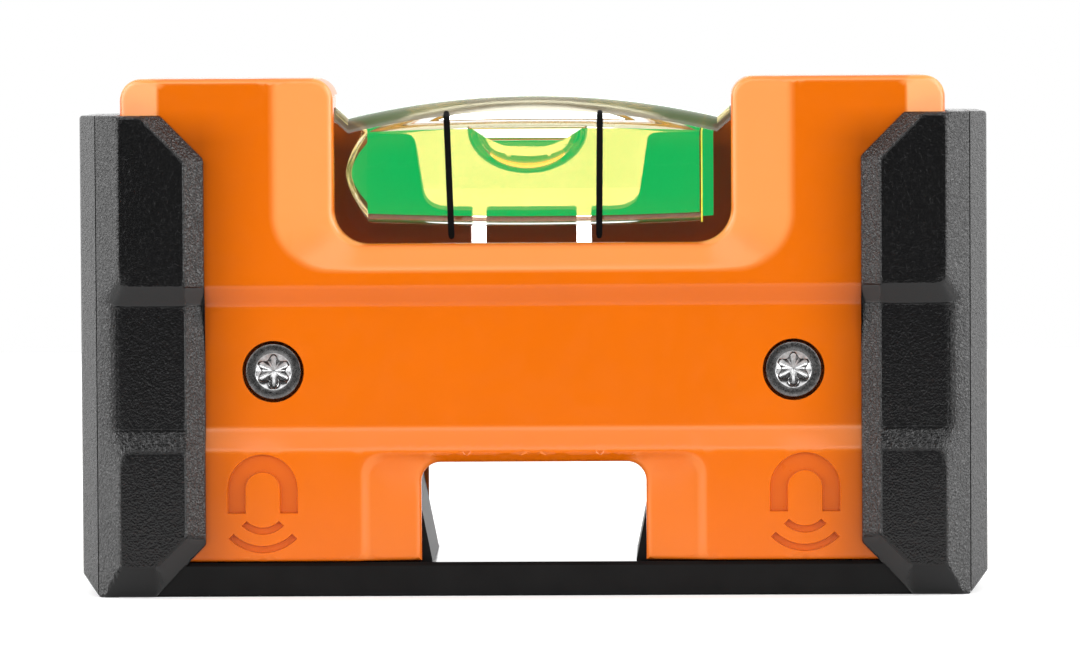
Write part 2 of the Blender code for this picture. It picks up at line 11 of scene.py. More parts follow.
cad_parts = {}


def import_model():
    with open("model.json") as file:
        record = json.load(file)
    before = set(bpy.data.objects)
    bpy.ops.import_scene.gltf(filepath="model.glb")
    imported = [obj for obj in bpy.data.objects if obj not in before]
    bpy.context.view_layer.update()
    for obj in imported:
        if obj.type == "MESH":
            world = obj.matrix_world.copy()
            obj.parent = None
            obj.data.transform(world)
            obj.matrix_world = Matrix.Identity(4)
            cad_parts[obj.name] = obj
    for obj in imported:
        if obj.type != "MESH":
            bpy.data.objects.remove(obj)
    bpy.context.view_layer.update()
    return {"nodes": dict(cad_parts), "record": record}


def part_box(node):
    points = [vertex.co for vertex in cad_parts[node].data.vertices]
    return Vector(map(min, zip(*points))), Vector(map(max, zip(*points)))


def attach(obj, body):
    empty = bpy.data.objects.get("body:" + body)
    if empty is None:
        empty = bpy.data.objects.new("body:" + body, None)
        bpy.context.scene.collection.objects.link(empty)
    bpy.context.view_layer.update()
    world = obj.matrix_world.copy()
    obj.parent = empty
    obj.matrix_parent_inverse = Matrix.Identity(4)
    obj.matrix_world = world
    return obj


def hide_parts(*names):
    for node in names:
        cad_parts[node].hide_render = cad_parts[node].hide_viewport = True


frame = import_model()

MM = 0.001  # sizes below are in millimetres


# Places read from the frame

def box_mm(node):
    low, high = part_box(node)
    return np.array(low) / MM, np.array(high) / MM


SHELL_LOW, SHELL_HIGH = box_mm("front_shell")
CAP_LOW, CAP_HIGH = box_mm("end_cap_right_front")
CAP_END = box_mm("end_cap_right_rear")[1][0]
SCREW_LOW, SCREW_HIGH = box_mm("screw_right")
VIAL_LOW, VIAL_HIGH = box_mm("vial_block")
PLUG_LOW = box_mm("vial_plug")[0]
BUBBLE_LOW, BUBBLE_HIGH = box_mm("bubble")

BODY_HALF = SHELL_HIGH[0]
BODY_FACE = -SHELL_LOW[1]
BODY_FOOT = SHELL_LOW[2]
EAR_TOP = SHELL_HIGH[2]
CAP_FACE = -CAP_LOW[1]
CAP_INNER = CAP_LOW[0]
CAP_SEAM = CAP_HIGH[0]
CAP_TOP = CAP_HIGH[2]
SCREW_X = 0.5 * (SCREW_LOW[0] + SCREW_HIGH[0])
SCREW_Z = 0.5 * (SCREW_LOW[2] + SCREW_HIGH[2])
SCREW_FACE = -SCREW_LOW[1]

# Housing
PART_GAP = 0.05  # half the seam between the housing's halves
BODY_EDGE = 0.45
WALL = 1.8
EAR_INNER = 17.5
EAR_RADIUS = 1.9
NOTCH_FLOOR = 31.0
NOTCH_RADIUS = 3.0
WINDOW_HALF = 9.9
WINDOW_ROOF = 11.75
WINDOW_RADIUS = 1.7
WAIST_LOW = (12.8, 14.8)
WAIST_HIGH = (25.7, 27.3)
WAIST_DEPTH = 0.9
SIDE_CHAMFER = (3.4, 1.5)  # width and depth
COVE = (22.9, 28.7, 5.0)  # half width, floor and corner radius of the notch's border
COVE_DEPTH = 1.05
SCOOP = (15.1, 12.6, 2.0)  # the same for the window's border
SCOOP_DEPTH = 0.8
CORE_EAR = 20.4
CORE_TOP = EAR_TOP - WALL
CORE_ROOF = 28.7
REAR_EAR_INNER = 18.2
REAR_SHOULDER = (10.6, 41.6)  # half width and height
REAR_SILL = (9.5, 32.7)
REAR_SLOT = (4.72, 1.35)  # centre and width
REAR_SLOT_FLOOR = 30.5
REAR_SHIFT = -0.35  # the rear opening's middle
REAR_RIBS = (-2.5, 2.2)
SEAT_PLAY = 0.3  # round the vial
BOSS_RADIUS = 3.0
BOSS_START = 4.1
COUNTERBORE = (2.72, 1.7)  # radius and depth
CLEARANCE = 1.5

# Magnet symbol
SYMBOL_X = 23.85
SYMBOL_DEPTH = 0.4
ARCH_CENTRE = 9.45
ARCH_RADII = (3.1, 1.5)
ARCH_FOOT = 7.35
WAVE_CENTRE = 8.1
WAVE_RADII = (2.63, 4.25)
WAVE_THICK = 0.64
WAVE_ANGLE = 45.5

# End caps, for the right one
CAP_EDGE = CAP_INNER - 0.3
CAP_POCKET_HALF = 10.36
CAP_POCKET_END = 36.6
PANEL_INNER = 30.5
PANEL_OUTER = 36.3
PANEL_TOP = CAP_TOP - 0.3
PANEL_FOOT = 2.65
CAP_SIDE_SLOPE = 0.75
CAP_INNER_SLOPE = 0.75


# Outlines: arrays of (x, z) points in millimetres

def rounded(corners, chord=0.25):
    """Turn (x, z, radius) corners into points, with arcs in steps of about one chord."""
    points = []
    count = len(corners)
    for i, (x, z, radius) in enumerate(corners):
        corner = Vector((x, z))
        if radius == 0:
            points.append((x, z))
            continue
        before = (Vector(corners[i - 1][:2]) - corner).normalized()
        after = (Vector(corners[(i + 1) % count][:2]) - corner).normalized()
        half_angle = 0.5 * before.angle(after)
        centre = corner + (before + after).normalized() * (radius / math.sin(half_angle))
        start = corner + before * (radius / math.tan(half_angle)) - centre
        end = corner + after * (radius / math.tan(half_angle)) - centre
        sweep = start.angle_signed(end)
        steps = max(4, round(abs(sweep) * radius / chord))
        for step in range(steps + 1):
            points.append(tuple(centre + Matrix.Rotation(-sweep * step / steps, 2) @ start))
    return np.array(points)


def spaced(points, gap, closed=True):
    """Add points along the straight stretches, so that none is longer than the gap."""
    points = np.asarray(points, float)
    ends = np.roll(points, -1, axis=0) if closed else points[1:]
    out = []
    for a, b in zip(points, ends):
        pieces = max(1, math.ceil(np.hypot(*(b - a)) / gap))
        out.extend(a + (b - a) * k / pieces for k in range(pieces))
    if not closed:
        out.append(points[-1])
    return np.array(out)


def both_sides(right_half):
    return right_half + [(-x, z, radius) for x, z, radius in reversed(right_half)]


def inward_normals(loop):
    """Unit normals that point into a closed loop, averaged at its corners."""
    ahead = np.roll(loop, -1, axis=0) - loop
    ahead /= np.hypot(ahead[:, 0], ahead[:, 1])[:, None]
    behind = np.roll(ahead, 1, axis=0)
    normal = np.stack([-(ahead + behind)[:, 1], (ahead + behind)[:, 0]], axis=1)
    normal /= np.hypot(normal[:, 0], normal[:, 1])[:, None]
    stretch = np.clip((normal * np.stack([-ahead[:, 1], ahead[:, 0]], axis=1)).sum(1), 0.35, 1)
    sign = 1.0 if loop_area(loop) > 0 else -1.0
    return sign * normal / stretch[:, None]


def loop_area(loop):
    x, z = loop[:, 0], loop[:, 1]
    return 0.5 * np.sum(x * np.roll(z, -1) - z * np.roll(x, -1))


def distance_to_loop(points, loop):
    """Unsigned distance from each point to a closed loop."""
    best = np.full(len(points), 1e9)
    for a, b in zip(loop, np.roll(loop, -1, axis=0)):
        edge = b - a
        along = np.clip(((points - a) @ edge) / max(edge @ edge, 1e-12), 0, 1)
        best = np.minimum(best, np.hypot(*(points - a - along[:, None] * edge).T))
    return best


def inside_loop(points, loop):
    inside = np.zeros(len(points), bool)
    x, z = points[:, 0], points[:, 1]
    for a, b in zip(loop, np.roll(loop, -1, axis=0)):
        crosses = (a[1] > z) != (b[1] > z)
        if crosses.any():
            at = a[0] + (z - a[1]) * (b[0] - a[0]) / ((b[1] - a[1]) or 1e-12)
            inside ^= crosses & (x < at)
    return inside


def arch_loop(centre_x):
    outer, inner = ARCH_RADII
    turn = np.radians(np.linspace(0, 180, 37))
    top = np.stack([outer * np.cos(turn), outer * np.sin(turn) + ARCH_CENTRE], axis=1)
    under = np.stack([inner * np.cos(turn), inner * np.sin(turn) + ARCH_CENTRE], axis=1)[::-1]
    foot_left = [(-outer, ARCH_FOOT), (-inner, ARCH_FOOT)]
    foot_right = [(inner, ARCH_FOOT), (outer, ARCH_FOOT)]
    loop = np.concatenate([top, foot_left, under, foot_right])
    return spaced(loop + (centre_x, 0), 0.4)


def wave_loop(centre_x, radius):
    turn = np.radians(np.linspace(-90 - WAVE_ANGLE, -90 + WAVE_ANGLE, 25))
    ring = np.stack([np.cos(turn), np.sin(turn)], axis=1)
    loop = np.concatenate([ring * radius, ring[::-1] * (radius - WAVE_THICK)])
    return spaced(loop + (centre_x, WAVE_CENTRE), 0.4)


def symbol_loops():
    loops = []
    for side in (-1, 1):
        loops.append(arch_loop(side * SYMBOL_X))
        loops += [wave_loop(side * SYMBOL_X, radius) for radius in WAVE_RADII]
    return loops


# Reliefs: a face whose depth below its plane is a formula of (x, z)

def soft_relu(t, soft):
    """0 below 0 and t above it, with the bend rounded over +-soft."""
    return np.where(t > soft, t, np.where(t < -soft, 0.0, (t + soft) ** 2 / (4 * soft)))


def ramp(t, width, soft):
    return (soft_relu(t, soft) - soft_relu(t - width, soft)) / width


def smooth_max(a, b, blend):
    mix = np.clip(0.5 + 0.5 * (a - b) / blend, 0, 1)
    return b + (a - b) * mix + blend * mix * (1 - mix)


def round_edge(distance, radius):
    inner = np.clip(radius - distance, 0, radius)
    return radius - np.sqrt(np.maximum(radius ** 2 - inner ** 2, 0))


def waist(z, soft=0.25):
    low = ramp(z - WAIST_LOW[0], WAIST_LOW[1] - WAIST_LOW[0], soft)
    high = ramp(z - WAIST_HIGH[0], WAIST_HIGH[1] - WAIST_HIGH[0], soft)
    return WAIST_DEPTH * (low - high)


def open_box_distance(x, z, half, end, radius):
    """Distance outside a slot with rounded corners that is open beyond its end, at z -> 0."""
    out_x = np.abs(x) - (half - radius)
    out_z = end + radius - z
    corner = np.hypot(np.maximum(out_x, 0), np.maximum(out_z, 0))
    return corner + np.minimum(np.maximum(out_x, out_z), 0) - radius


def border(x, z, inner, outer, depth, soft, lip=0.0):
    """A quick drop at an outer slot outline, then a slope down to an inner one."""
    past_inner = open_box_distance(x, z, *inner)
    past_outer = open_box_distance(x, z, *outer)
    share = past_inner / np.maximum(past_inner - past_outer, 1e-6)
    share = np.where(past_outer > 0, 1 + past_outer, share)
    return (depth - lip) * soft_relu(1 - share, soft) + lip * ramp(-past_outer, 0.4, 0.1)


def housing_depth(points, with_cove):
    x, z = points[:, 0], points[:, 1]
    width, depth = SIDE_CHAMFER
    side = soft_relu(np.abs(x) - (BODY_HALF - width), 0.3) * depth / width
    roof = (WINDOW_HALF, -WINDOW_ROOF, WINDOW_RADIUS)
    scoop = border(x, -z, roof, (SCOOP[0], -SCOOP[1], SCOOP[2]), SCOOP_DEPTH, 0.05, 0.22)
    total = smooth_max(waist(z), scoop, 0.12)
    if with_cove:
        notch = (EAR_INNER, NOTCH_FLOOR, NOTCH_RADIUS)
        total = np.maximum(total, border(x, z, notch, COVE, COVE_DEPTH, 0.08))
    return np.maximum(total, side)


class PointField:
    """Points that keep apart, in a hash of square cells."""

    def __init__(self, cell=0.5):
        self.cell = cell
        self.cells = {}
        self.points = []

    def add(self, point, gap):
        """Add the point unless another is nearer than the gap."""
        column, row = int(point[0] // self.cell), int(point[1] // self.cell)
        reach = math.ceil(gap / self.cell)
        for i in range(column - reach, column + reach + 1):
            for j in range(row - reach, row + reach + 1):
                for other in self.cells.get((i, j), ()):
                    if (other[0] - point[0]) ** 2 + (other[1] - point[1]) ** 2 < gap * gap:
                        return
        self.cells.setdefault((column, row), []).append(point)
        self.points.append(point)


def offset_rows(line, distances, closed):
    """Points beside a line, at each distance to its left."""
    if closed:
        normals = inward_normals(line)
    else:
        tangent = np.gradient(line, axis=0)
        normals = np.stack([-tangent[:, 1], tangent[:, 0]], axis=1)
        normals /= np.hypot(normals[:, 0], normals[:, 1])[:, None]
    return [line + normals * distance for distance in distances]


def face_points(outline, loops, guides, edge_radius, spacing):
    """The points that a relief is sampled at, besides its outline and loops."""
    field = PointField()
    for point in np.concatenate([outline, *loops]) if loops else outline:
        field.add(tuple(point), 1e-4)
    fixed = len(field.points)
    turns = np.radians((25, 45, 62, 77, 90))
    rows = [edge_radius * (1 - math.cos(turn)) for turn in turns]
    rows.append(edge_radius + 0.15)
    for row in offset_rows(outline, rows, True):
        gap = distance_to_loop(row, outline)
        wanted = rows[0] * 0.8
        for point, near in zip(row, gap):
            if near > wanted:
                field.add(tuple(point), 0.035)
    for loop in loops:
        for row in offset_rows(loop, (0.08, 0.2, -0.08, -0.2), True):
            for point in row:
                field.add(tuple(point), 0.05)
    for line, distances in guides:
        for row in offset_rows(line, distances, False):
            for point in row:
                field.add(tuple(point), 0.11)
    low, high = outline.min(0), outline.max(0)
    for j, z in enumerate(np.arange(low[1], high[1], spacing * 0.87)):
        for x in np.arange(low[0] + (j % 2) * spacing / 2, high[0], spacing):
            field.add((x, z), spacing * 0.62)
    return np.array(field.points[fixed:])


def triangulate(outline, loops, free):
    """Triangles over the outline's inside; returns 2D points, triangles and outline indices."""
    edges = []
    start = 0
    for loop in [outline, *loops]:
        count = len(loop)
        edges += [(start + i, start + (i + 1) % count) for i in range(count)]
        start += count
    points = np.concatenate([outline, *loops, *([free] if len(free) else [])])
    verts, _, faces, origins, _, _ = delaunay_2d_cdt([Vector(p) for p in points], edges, [], 0, 1e-6)
    verts = np.array([tuple(v) for v in verts])
    faces = np.array([face for face in faces if len(face) == 3])
    centres = verts[faces].mean(axis=1)
    faces = faces[inside_loop(centres, outline)]
    moved = {old: new for new, olds in enumerate(origins) for old in olds}
    return verts, faces, [moved[i] for i in range(len(outline))]


def relief(name, outline, depth_at, face, back, facing, edge_radius=BODY_EDGE, loops=(),
           loop_depth=0.0, guides=(), spacing=1.7, seam=0.12):
    """A closed solid whose face, at y = facing * face, is sunk by depth_at and rounded at its edge."""
    loops = list(loops)
    free = face_points(outline, loops, guides, edge_radius, spacing)
    keep = inside_loop(free, outline) & (distance_to_loop(free, outline) > 0.02)
    verts, faces, rim = triangulate(outline, loops, free[keep])
    depth = depth_at(verts) + round_edge(distance_to_loop(verts, outline), edge_radius)
    for loop in loops:
        sunk = np.where(inside_loop(verts, loop), distance_to_loop(verts, loop), 0.0)
        depth += loop_depth * np.clip(sunk / 0.07, 0, 1)

    bm = bmesh.new()
    front = [bm.verts.new((x * MM, facing * (face - d) * MM, z * MM)) for (x, z), d in zip(verts, depth)]
    centres = verts[faces].mean(axis=1)
    sunk = np.any([inside_loop(centres, loop) for loop in loops], axis=0) if loops else []
    for number, triangle in enumerate(faces):
        made = bm.faces.new([front[i] for i in triangle])
        # Faces sunk in the loops take the second material, which for the symbols carries painted shade
        made.material_index = int(bool(loops) and sunk[number])
    inset = outline + inward_normals(outline) * seam
    shoulder = [bm.verts.new((x * MM, facing * (back + seam) * MM, z * MM)) for x, z in outline]
    base_points, base_faces, base_rim = triangulate(inset, [], [])
    base = [bm.verts.new((x * MM, facing * back * MM, z * MM)) for x, z in base_points]
    rings = [[front[i] for i in rim], shoulder, [base[i] for i in base_rim]]
    skin(bm, rings)
    for triangle in base_faces:
        bm.faces.new([base[i] for i in triangle])
    loose = [vert for vert in bm.verts if not vert.link_faces]
    bmesh.ops.delete(bm, geom=loose, context="VERTS")
    return mesh_object(name, bm)


# Mesh helpers

def mesh_object(name, bm, smooth_angle=35):
    bmesh.ops.recalc_face_normals(bm, faces=bm.faces)
    mesh = bpy.data.meshes.new(name)
    bm.to_mesh(mesh)
    bm.free()
    obj = bpy.data.objects.new(name, mesh)
    bpy.context.scene.collection.objects.link(obj)
    smooth(obj, smooth_angle)
    return obj


def smooth(obj, angle=35):
    obj.data.shade_smooth()
    obj.data.set_sharp_from_angle(angle=math.radians(angle))


def skin(bm, rings):
    """Quads from each ring of vertices to the next."""
    for ring, after in zip(rings, rings[1:]):
        for i in range(len(ring)):
            j = (i + 1) % len(ring)
            bm.faces.new((ring[i], ring[j], after[j], after[i]))


def box_tool(low, high):
    bm = bmesh.new()
    bmesh.ops.create_cube(bm, size=1.0)
    low, high = np.array(low) * MM, np.array(high) * MM
    bmesh.ops.scale(bm, vec=high - low, verts=bm.verts)
    bmesh.ops.translate(bm, vec=0.5 * (low + high), verts=bm.verts)
    return mesh_object("tool", bm)


def prism_tool(outline, low, high):
    """A prism over an XZ outline, from y = low to y = high."""
    bm = bmesh.new()
    ends = [[bm.verts.new((x * MM, y * MM, z * MM)) for x, z in outline] for y in (low, high)]
    skin(bm, ends)
    for ring in ends:
        bm.faces.new(ring)
    return mesh_object("tool", bm)


def cylinder_tool(radius, x, z, low, high, segments=96):
    turn = np.linspace(0, 2 * np.pi, segments, endpoint=False)
    outline = np.stack([x + radius * np.cos(turn), z + radius * np.sin(turn)], axis=1)
    return prism_tool(outline, low, high)


def combine(obj, tool, operation, angle=35):
    """Apply a Boolean at once and remove the tool."""
    modifier = obj.modifiers.new("combine", "BOOLEAN")
    modifier.operation = operation
    modifier.solver = "EXACT"
    modifier.object = tool
    apply_modifiers(obj)
    bpy.data.objects.remove(tool, do_unlink=True)
    smooth(obj, angle)
    return obj


def cut(obj, tool):
    return combine(obj, tool, "DIFFERENCE")


def join(obj, tool):
    return combine(obj, tool, "UNION")


def apply_modifiers(obj):
    bpy.context.view_layer.update()
    evaluated = obj.evaluated_get(bpy.context.evaluated_depsgraph_get())
    mesh = bpy.data.meshes.new_from_object(evaluated)
    obj.modifiers.clear()
    old = obj.data
    obj.data = mesh
    bpy.data.meshes.remove(old)


def weigh_normals(obj):
    """Let the big flat faces set the shading, so that clear walls don't bend light like lenses."""
    modifier = obj.modifiers.new("weigh_normals", "WEIGHTED_NORMAL")
    modifier.mode = "FACE_AREA"
    modifier.weight = 100
    modifier.keep_sharp = True
    apply_modifiers(obj)


def loft_rings(name, rings, cap_first=True, cap_last=True, smooth_angle=35):
    """Skin closed rings of 3D points in millimetres, all with the same count."""
    bm = bmesh.new()
    skins = [[bm.verts.new(Vector(point) * MM) for point in ring] for ring in rings]
    skin(bm, skins)
    for wanted, ring in ((cap_first, skins[0]), (cap_last, skins[-1])):
        if wanted:
            bm.faces.new(ring)
    return mesh_object(name, bm, smooth_angle)


def loft_loop(name, rings):
    """Skin rings whose last joins the first, as for a washer."""
    bm = bmesh.new()
    skins = [[bm.verts.new(Vector(point) * MM) for point in ring] for ring in rings]
    skin(bm, skins + skins[:1])
    return mesh_object(name, bm)


def place(piece, node, slot, *mats):
    """Give a piece its materials and its part in the frame."""
    indices = [face.material_index for face in piece.data.polygons]
    piece.data.materials.clear()
    for mat in mats:
        piece.data.materials.append(mat)
    last = len(mats) - 1
    piece.data.polygons.foreach_set("material_index", [min(index, last) for index in indices])
    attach(piece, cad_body(node))
    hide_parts(node)


def repaint(node, mat):
    """Give a CAD node that stays as it is its material."""
    mesh = frame["nodes"][node].data
    mesh.materials.clear()
    mesh.materials.append(mat)


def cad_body(node):
    bodies = frame["record"]["behaviour"]["bodies"]
    return next(name for name, nodes in bodies.items() if node in nodes)


# Materials

class Nodes:
    """A material's node tree, with short calls for the nodes used here."""

    def __init__(self, name):
        self.mat = bpy.data.materials.new(name)
        self.mat.use_nodes = True
        self.tree = self.mat.node_tree
        self.shader = self.tree.nodes["Principled BSDF"]

    def add(self, kind, inputs=(), **settings):
        node = self.tree.nodes.new(kind)
        for key, value in settings.items():
            setattr(node, key, value)
        for key, value in dict(inputs).items():
            self.feed(node.inputs[key], value)
        return node

    def feed(self, socket, value):
        if isinstance(value, bpy.types.NodeSocket):
            self.tree.links.new(value, socket)
        else:
            socket.default_value = value

    def set(self, **values):
        for key, value in values.items():
            self.feed(self.shader.inputs[key.replace("_", " ")], value)

    def coords(self, scale=(1, 1, 1)):
        vector = self.add("ShaderNodeTexCoord").outputs["Object"]
        return self.add("ShaderNodeMapping", {"Vector": vector, "Scale": scale}).outputs["Vector"]

    def noise(self, scale, detail=3.0, roughness=0.5, distortion=0.0, vector=None):
        inputs = {"Scale": scale, "Detail": detail, "Roughness": roughness, "Distortion": distortion}
        inputs["Vector"] = vector if vector is not None else self.coords()
        return self.add("ShaderNodeTexNoise", inputs).outputs["Fac"]

    def spread(self, value, low, high, to_low=0.0, to_high=1.0):
        inputs = {"Value": value, "From Min": low, "From Max": high, "To Min": to_low, "To Max": to_high}
        return self.add("ShaderNodeMapRange", inputs).outputs["Result"]

    def math(self, operation, a, b):
        return self.add("ShaderNodeMath", {0: a, 1: b}, operation=operation).outputs["Value"]

    def mix(self, factor, a, b):
        inputs = {"Factor": factor, 6: a, 7: b}
        return self.add("ShaderNodeMix", inputs, data_type="RGBA").outputs[2]

    def bump(self, height, distance, strength=1.0):
        inputs = {"Height": height, "Distance": distance, "Strength": strength}
        self.feed(self.shader.inputs["Normal"], self.add("ShaderNodeBump", inputs).outputs["Normal"])

    def normal_part(self, axis):
        normal = self.add("ShaderNodeTexCoord").outputs["Normal"]
        return self.add("ShaderNodeSeparateXYZ", {"Vector": normal}).outputs[axis]


def orange_plastic(name, colour, roughness, glow=0.0):
    """Satin moulded ABS: mottled and finely grained, made paler on its slopes by a painted sheen, darker
    beside the caps by painted shade, with an optional painted glow.
    """
    n = Nodes(name)
    mottle = n.spread(n.noise(90.0, 3.0), 0.3, 0.7)
    shade = tuple(0.95 * c for c in colour)
    rough = n.spread(n.noise(700.0, 3.0), 0.3, 0.7, roughness - 0.03, roughness + 0.04)
    # Painted sheen: a paler orange mixed in where the surface slopes sideways or upward
    painted_sheen = (min(1.25 * colour[0], 1.0), 2.35 * colour[1], 0.08, 1)
    sideways = n.math("ABSOLUTE", n.normal_part("X"), 0.0)
    upward = n.normal_part("Z")
    side_sheen = n.math("MULTIPLY", n.spread(sideways, 0.0, 0.21), n.spread(sideways, 0.9, 0.6))
    top_sheen = n.math("MULTIPLY", n.spread(upward, 0.0, 0.21, 0.0, 0.75), n.spread(upward, 0.9, 0.6))
    where = n.add("ShaderNodeSeparateXYZ", {"Vector": n.coords()}).outputs
    height = where["Z"]
    # Painted shade: darker towards the caps, up to about their height, where the caps shade the housing
    beside = n.spread(n.math("ABSOLUTE", where["X"], 0.0), 0.022, 0.029)
    beside = n.math("MULTIPLY", n.math("POWER", beside, 2.0), n.spread(height, 0.043, 0.040, 0.0, 0.65))
    plain = n.mix(mottle, (*shade, 1), (*colour, 1))
    plain = n.mix(beside, plain, tuple(0.35 * c for c in colour) + (1,))
    # The painted sheen is stronger higher up
    painted_light_by_height = n.spread(height, 0.012, 0.030, 0.25, 0.95)
    slope = n.math("MULTIPLY", n.math("MAXIMUM", side_sheen, top_sheen), painted_light_by_height)
    n.set(Base_Color=n.mix(slope, plain, painted_sheen), Roughness=rough, IOR=1.42)
    # Painted glow: emission, none unless glow is set
    n.set(Emission_Color=(1.0, 0.42, 0.08, 1), Emission_Strength=glow)
    n.bump(n.noise(4200.0, 2.0, 0.6), 0.000005, 0.25)
    return n.mat


def seat_wall_painted_shade(deep, plain):
    """The walls beside the vial: the same plastic, with painted shade that makes it dimmer towards the
    bottom of the seat.
    """
    n = Nodes("orange_plastic_seat_painted_shade")
    height = n.add("ShaderNodeSeparateXYZ", {"Vector": n.coords()}).outputs["Z"]
    mottle = n.spread(n.noise(90.0, 3.0), 0.3, 0.7, -0.001, 0.001)
    # Painted shade: the deep colour below, the plain colour above
    painted_light_by_height = n.spread(n.math("ADD", height, mottle), 0.0385, 0.0425)
    n.set(Base_Color=n.mix(painted_light_by_height, (*deep, 1), (*plain, 1)), Roughness=0.28, IOR=1.42)
    n.bump(n.noise(4200.0, 2.0, 0.6), 0.000005, 0.25)
    return n.mat


def grip_rubber():
    """Black end caps: a leather grain on the slopes, less on the faces, none on what faces down; faces
    that turn to the sides are painted lighter, a painted sheen.
    """
    n = Nodes("grip_rubber")
    streaks = n.noise(2800.0, 3.0, 0.6, 0.8, n.coords((1.0, 1.0, 0.7)))
    cells = n.add(
        "ShaderNodeTexVoronoi", {"Scale": 4800.0, "Vector": n.coords()}, feature="F1"
    ).outputs["Distance"]
    height = n.math("ADD", streaks, n.math("MULTIPLY", cells, 0.35))
    grained = n.spread(n.normal_part("Z"), -0.25, -0.12)
    height = n.math("MULTIPLY", height, grained)
    face = n.math("ABSOLUTE", n.normal_part("Y"), 0.0)
    height = n.math("MULTIPLY", height, n.spread(face, 0.92, 0.985, 1.0, 0.2))
    dust = n.spread(n.noise(5200.0, 2.0), 0.60, 0.78, 0.0, 0.5)
    colour = n.mix(dust, (0.003, 0.003, 0.0032, 1), (0.014, 0.014, 0.014, 1))
    # Painted sheen: faces turned to the sides get a lighter black
    sideways = n.math("ABSOLUTE", n.normal_part("X"), 0.0)
    colour = n.mix(n.spread(sideways, 0.2, 0.5), colour, (0.019, 0.019, 0.019, 1))
    n.set(Base_Color=colour, Roughness=n.spread(grained, 0.0, 1.0, 0.23, 0.22), IOR=1.43)
    n.bump(height, 0.00020, 1.0)
    return n.mat


def rail_plastic():
    """Smooth black plastic with a dull front and a polished top."""
    n = Nodes("rail_plastic")
    tone = n.spread(n.noise(300.0, 2.0), 0.3, 0.7)
    top = n.spread(n.normal_part("Z"), 0.8, 0.95)
    n.set(
        Base_Color=n.mix(tone, (0.003, 0.003, 0.003, 1), (0.005, 0.005, 0.005, 1)),
        Roughness=n.spread(top, 0.0, 1.0, 0.42, 0.10),
        IOR=n.spread(top, 0.0, 1.0, 1.24, 1.9),
    )
    n.bump(n.noise(2600.0, 2.0), 0.000004, 0.3)
    return n.mat


def screw_zinc(name, dark, light, roughness):
    n = Nodes(name)
    blotch = n.spread(n.noise(2600.0, 4.0, 0.6), 0.35, 0.7)
    n.set(
        Base_Color=n.mix(blotch, (dark, dark, dark, 1), (light, light, 1.01 * light, 1)),
        Metallic=1.0,
        Roughness=n.spread(n.noise(5200.0, 3.0), 0.3, 0.7, roughness, roughness + 0.08),
    )
    n.bump(n.noise(5000.0, 2.0), 0.000004, 0.5)
    return n.mat


def plated_steel(name, colour, roughness):
    n = Nodes(name)
    shade = tuple(0.86 * c for c in colour)
    blotch = n.spread(n.noise(900.0, 4.0), 0.3, 0.7)
    n.set(
        Base_Color=n.mix(blotch, (*shade, 1), (*colour, 1)),
        Metallic=1.0,
        Roughness=n.spread(n.noise(3000.0, 2.0), 0.3, 0.7, roughness, roughness + 0.08),
    )
    n.bump(n.noise(4000.0, 2.0), 0.000006, 0.3)
    return n.mat


def clear_acrylic():
    n = Nodes("clear_acrylic")
    n.set(
        Base_Color=(0.985, 0.99, 0.97, 1),
        Roughness=n.spread(n.noise(500.0, 3.0), 0.45, 0.75, 0.0, 0.02),
        IOR=1.49,
        Transmission_Weight=1.0,
    )
    n.bump(n.noise(260.0, 2.0), 0.000004, 0.25)
    return n.mat


def dull_acrylic_painted_reflection():
    """The block's moulded edges, less polished than its faces, with an olive-grey diffuse tint that is a
    painted reflection of darker surroundings.
    """
    n = Nodes("dull_acrylic_painted_reflection")
    haze = n.spread(n.noise(300.0, 3.0), 0.3, 0.7)
    n.set(
        Base_Color=n.mix(haze, (0.15, 0.132, 0.088, 1), (0.20, 0.178, 0.12, 1)),
        Roughness=n.spread(haze, 0.0, 1.0, 0.14, 0.26),
        IOR=1.49,
        Transmission_Weight=0.35,
    )
    return n.mat


def block_end_painted_glow():
    """The block's ends, with a patchy painted glow in place of the light that gathers in the block."""
    n = Nodes("block_end_painted_glow")
    patch = n.spread(n.noise(330.0, 2.0), 0.42, 0.58, 0.1, 0.8)
    n.set(
        Base_Color=(0.55, 0.50, 0.25, 1),
        Roughness=0.2,
        IOR=1.49,
        Transmission_Weight=0.6,
        # Painted glow: emission in patches
        Emission_Color=(1.0, 0.80, 0.34, 1),
        Emission_Strength=patch,
    )
    return n.mat


def spirit():
    """The liquid's surface as seen from inside the acrylic: a relative refractive index."""
    n = Nodes("spirit")
    n.set(Base_Color=(0.98, 0.99, 0.86, 1), Roughness=0.0, IOR=1.405 / 1.49, Transmission_Weight=1.0)
    return n.mat


def spirit_glow(name, strength):
    """Fluorescent colour without refraction: it tints what is behind and adds green."""
    n = Nodes(name)
    cloud = n.spread(n.noise(120.0, 3.0), 0.3, 0.7)
    n.set(
        Base_Color=n.mix(cloud, (0.165, 0.090, 0.032, 1), (0.185, 0.100, 0.040, 1)),
        Roughness=0.0,
        IOR=1.0,
        Transmission_Weight=1.0,
        Emission_Color=(0.0, 1.0, 0.25, 1),
        Emission_Strength=strength,
    )
    return n.mat


def glue_painted_glow():
    n = Nodes("glue_painted_glow")
    patch = n.spread(n.noise(1400.0, 3.0), 0.35, 0.65)
    n.set(
        Base_Color=n.mix(patch, (0.75, 0.80, 0.10, 1), (0.95, 0.92, 0.30, 1)),
        Roughness=0.3,
        IOR=1.45,
        Transmission_Weight=0.4,
        # Painted glow: the glue line glows yellow-green
        Emission_Color=(0.75, 0.85, 0.10, 1),
        Emission_Strength=0.35,
    )
    return n.mat


def trapped_air():
    n = Nodes("trapped_air")
    n.set(Base_Color=(0.97, 1.0, 0.95, 1), Roughness=0.0, IOR=1.0 / 1.25, Transmission_Weight=1.0)
    return n.mat


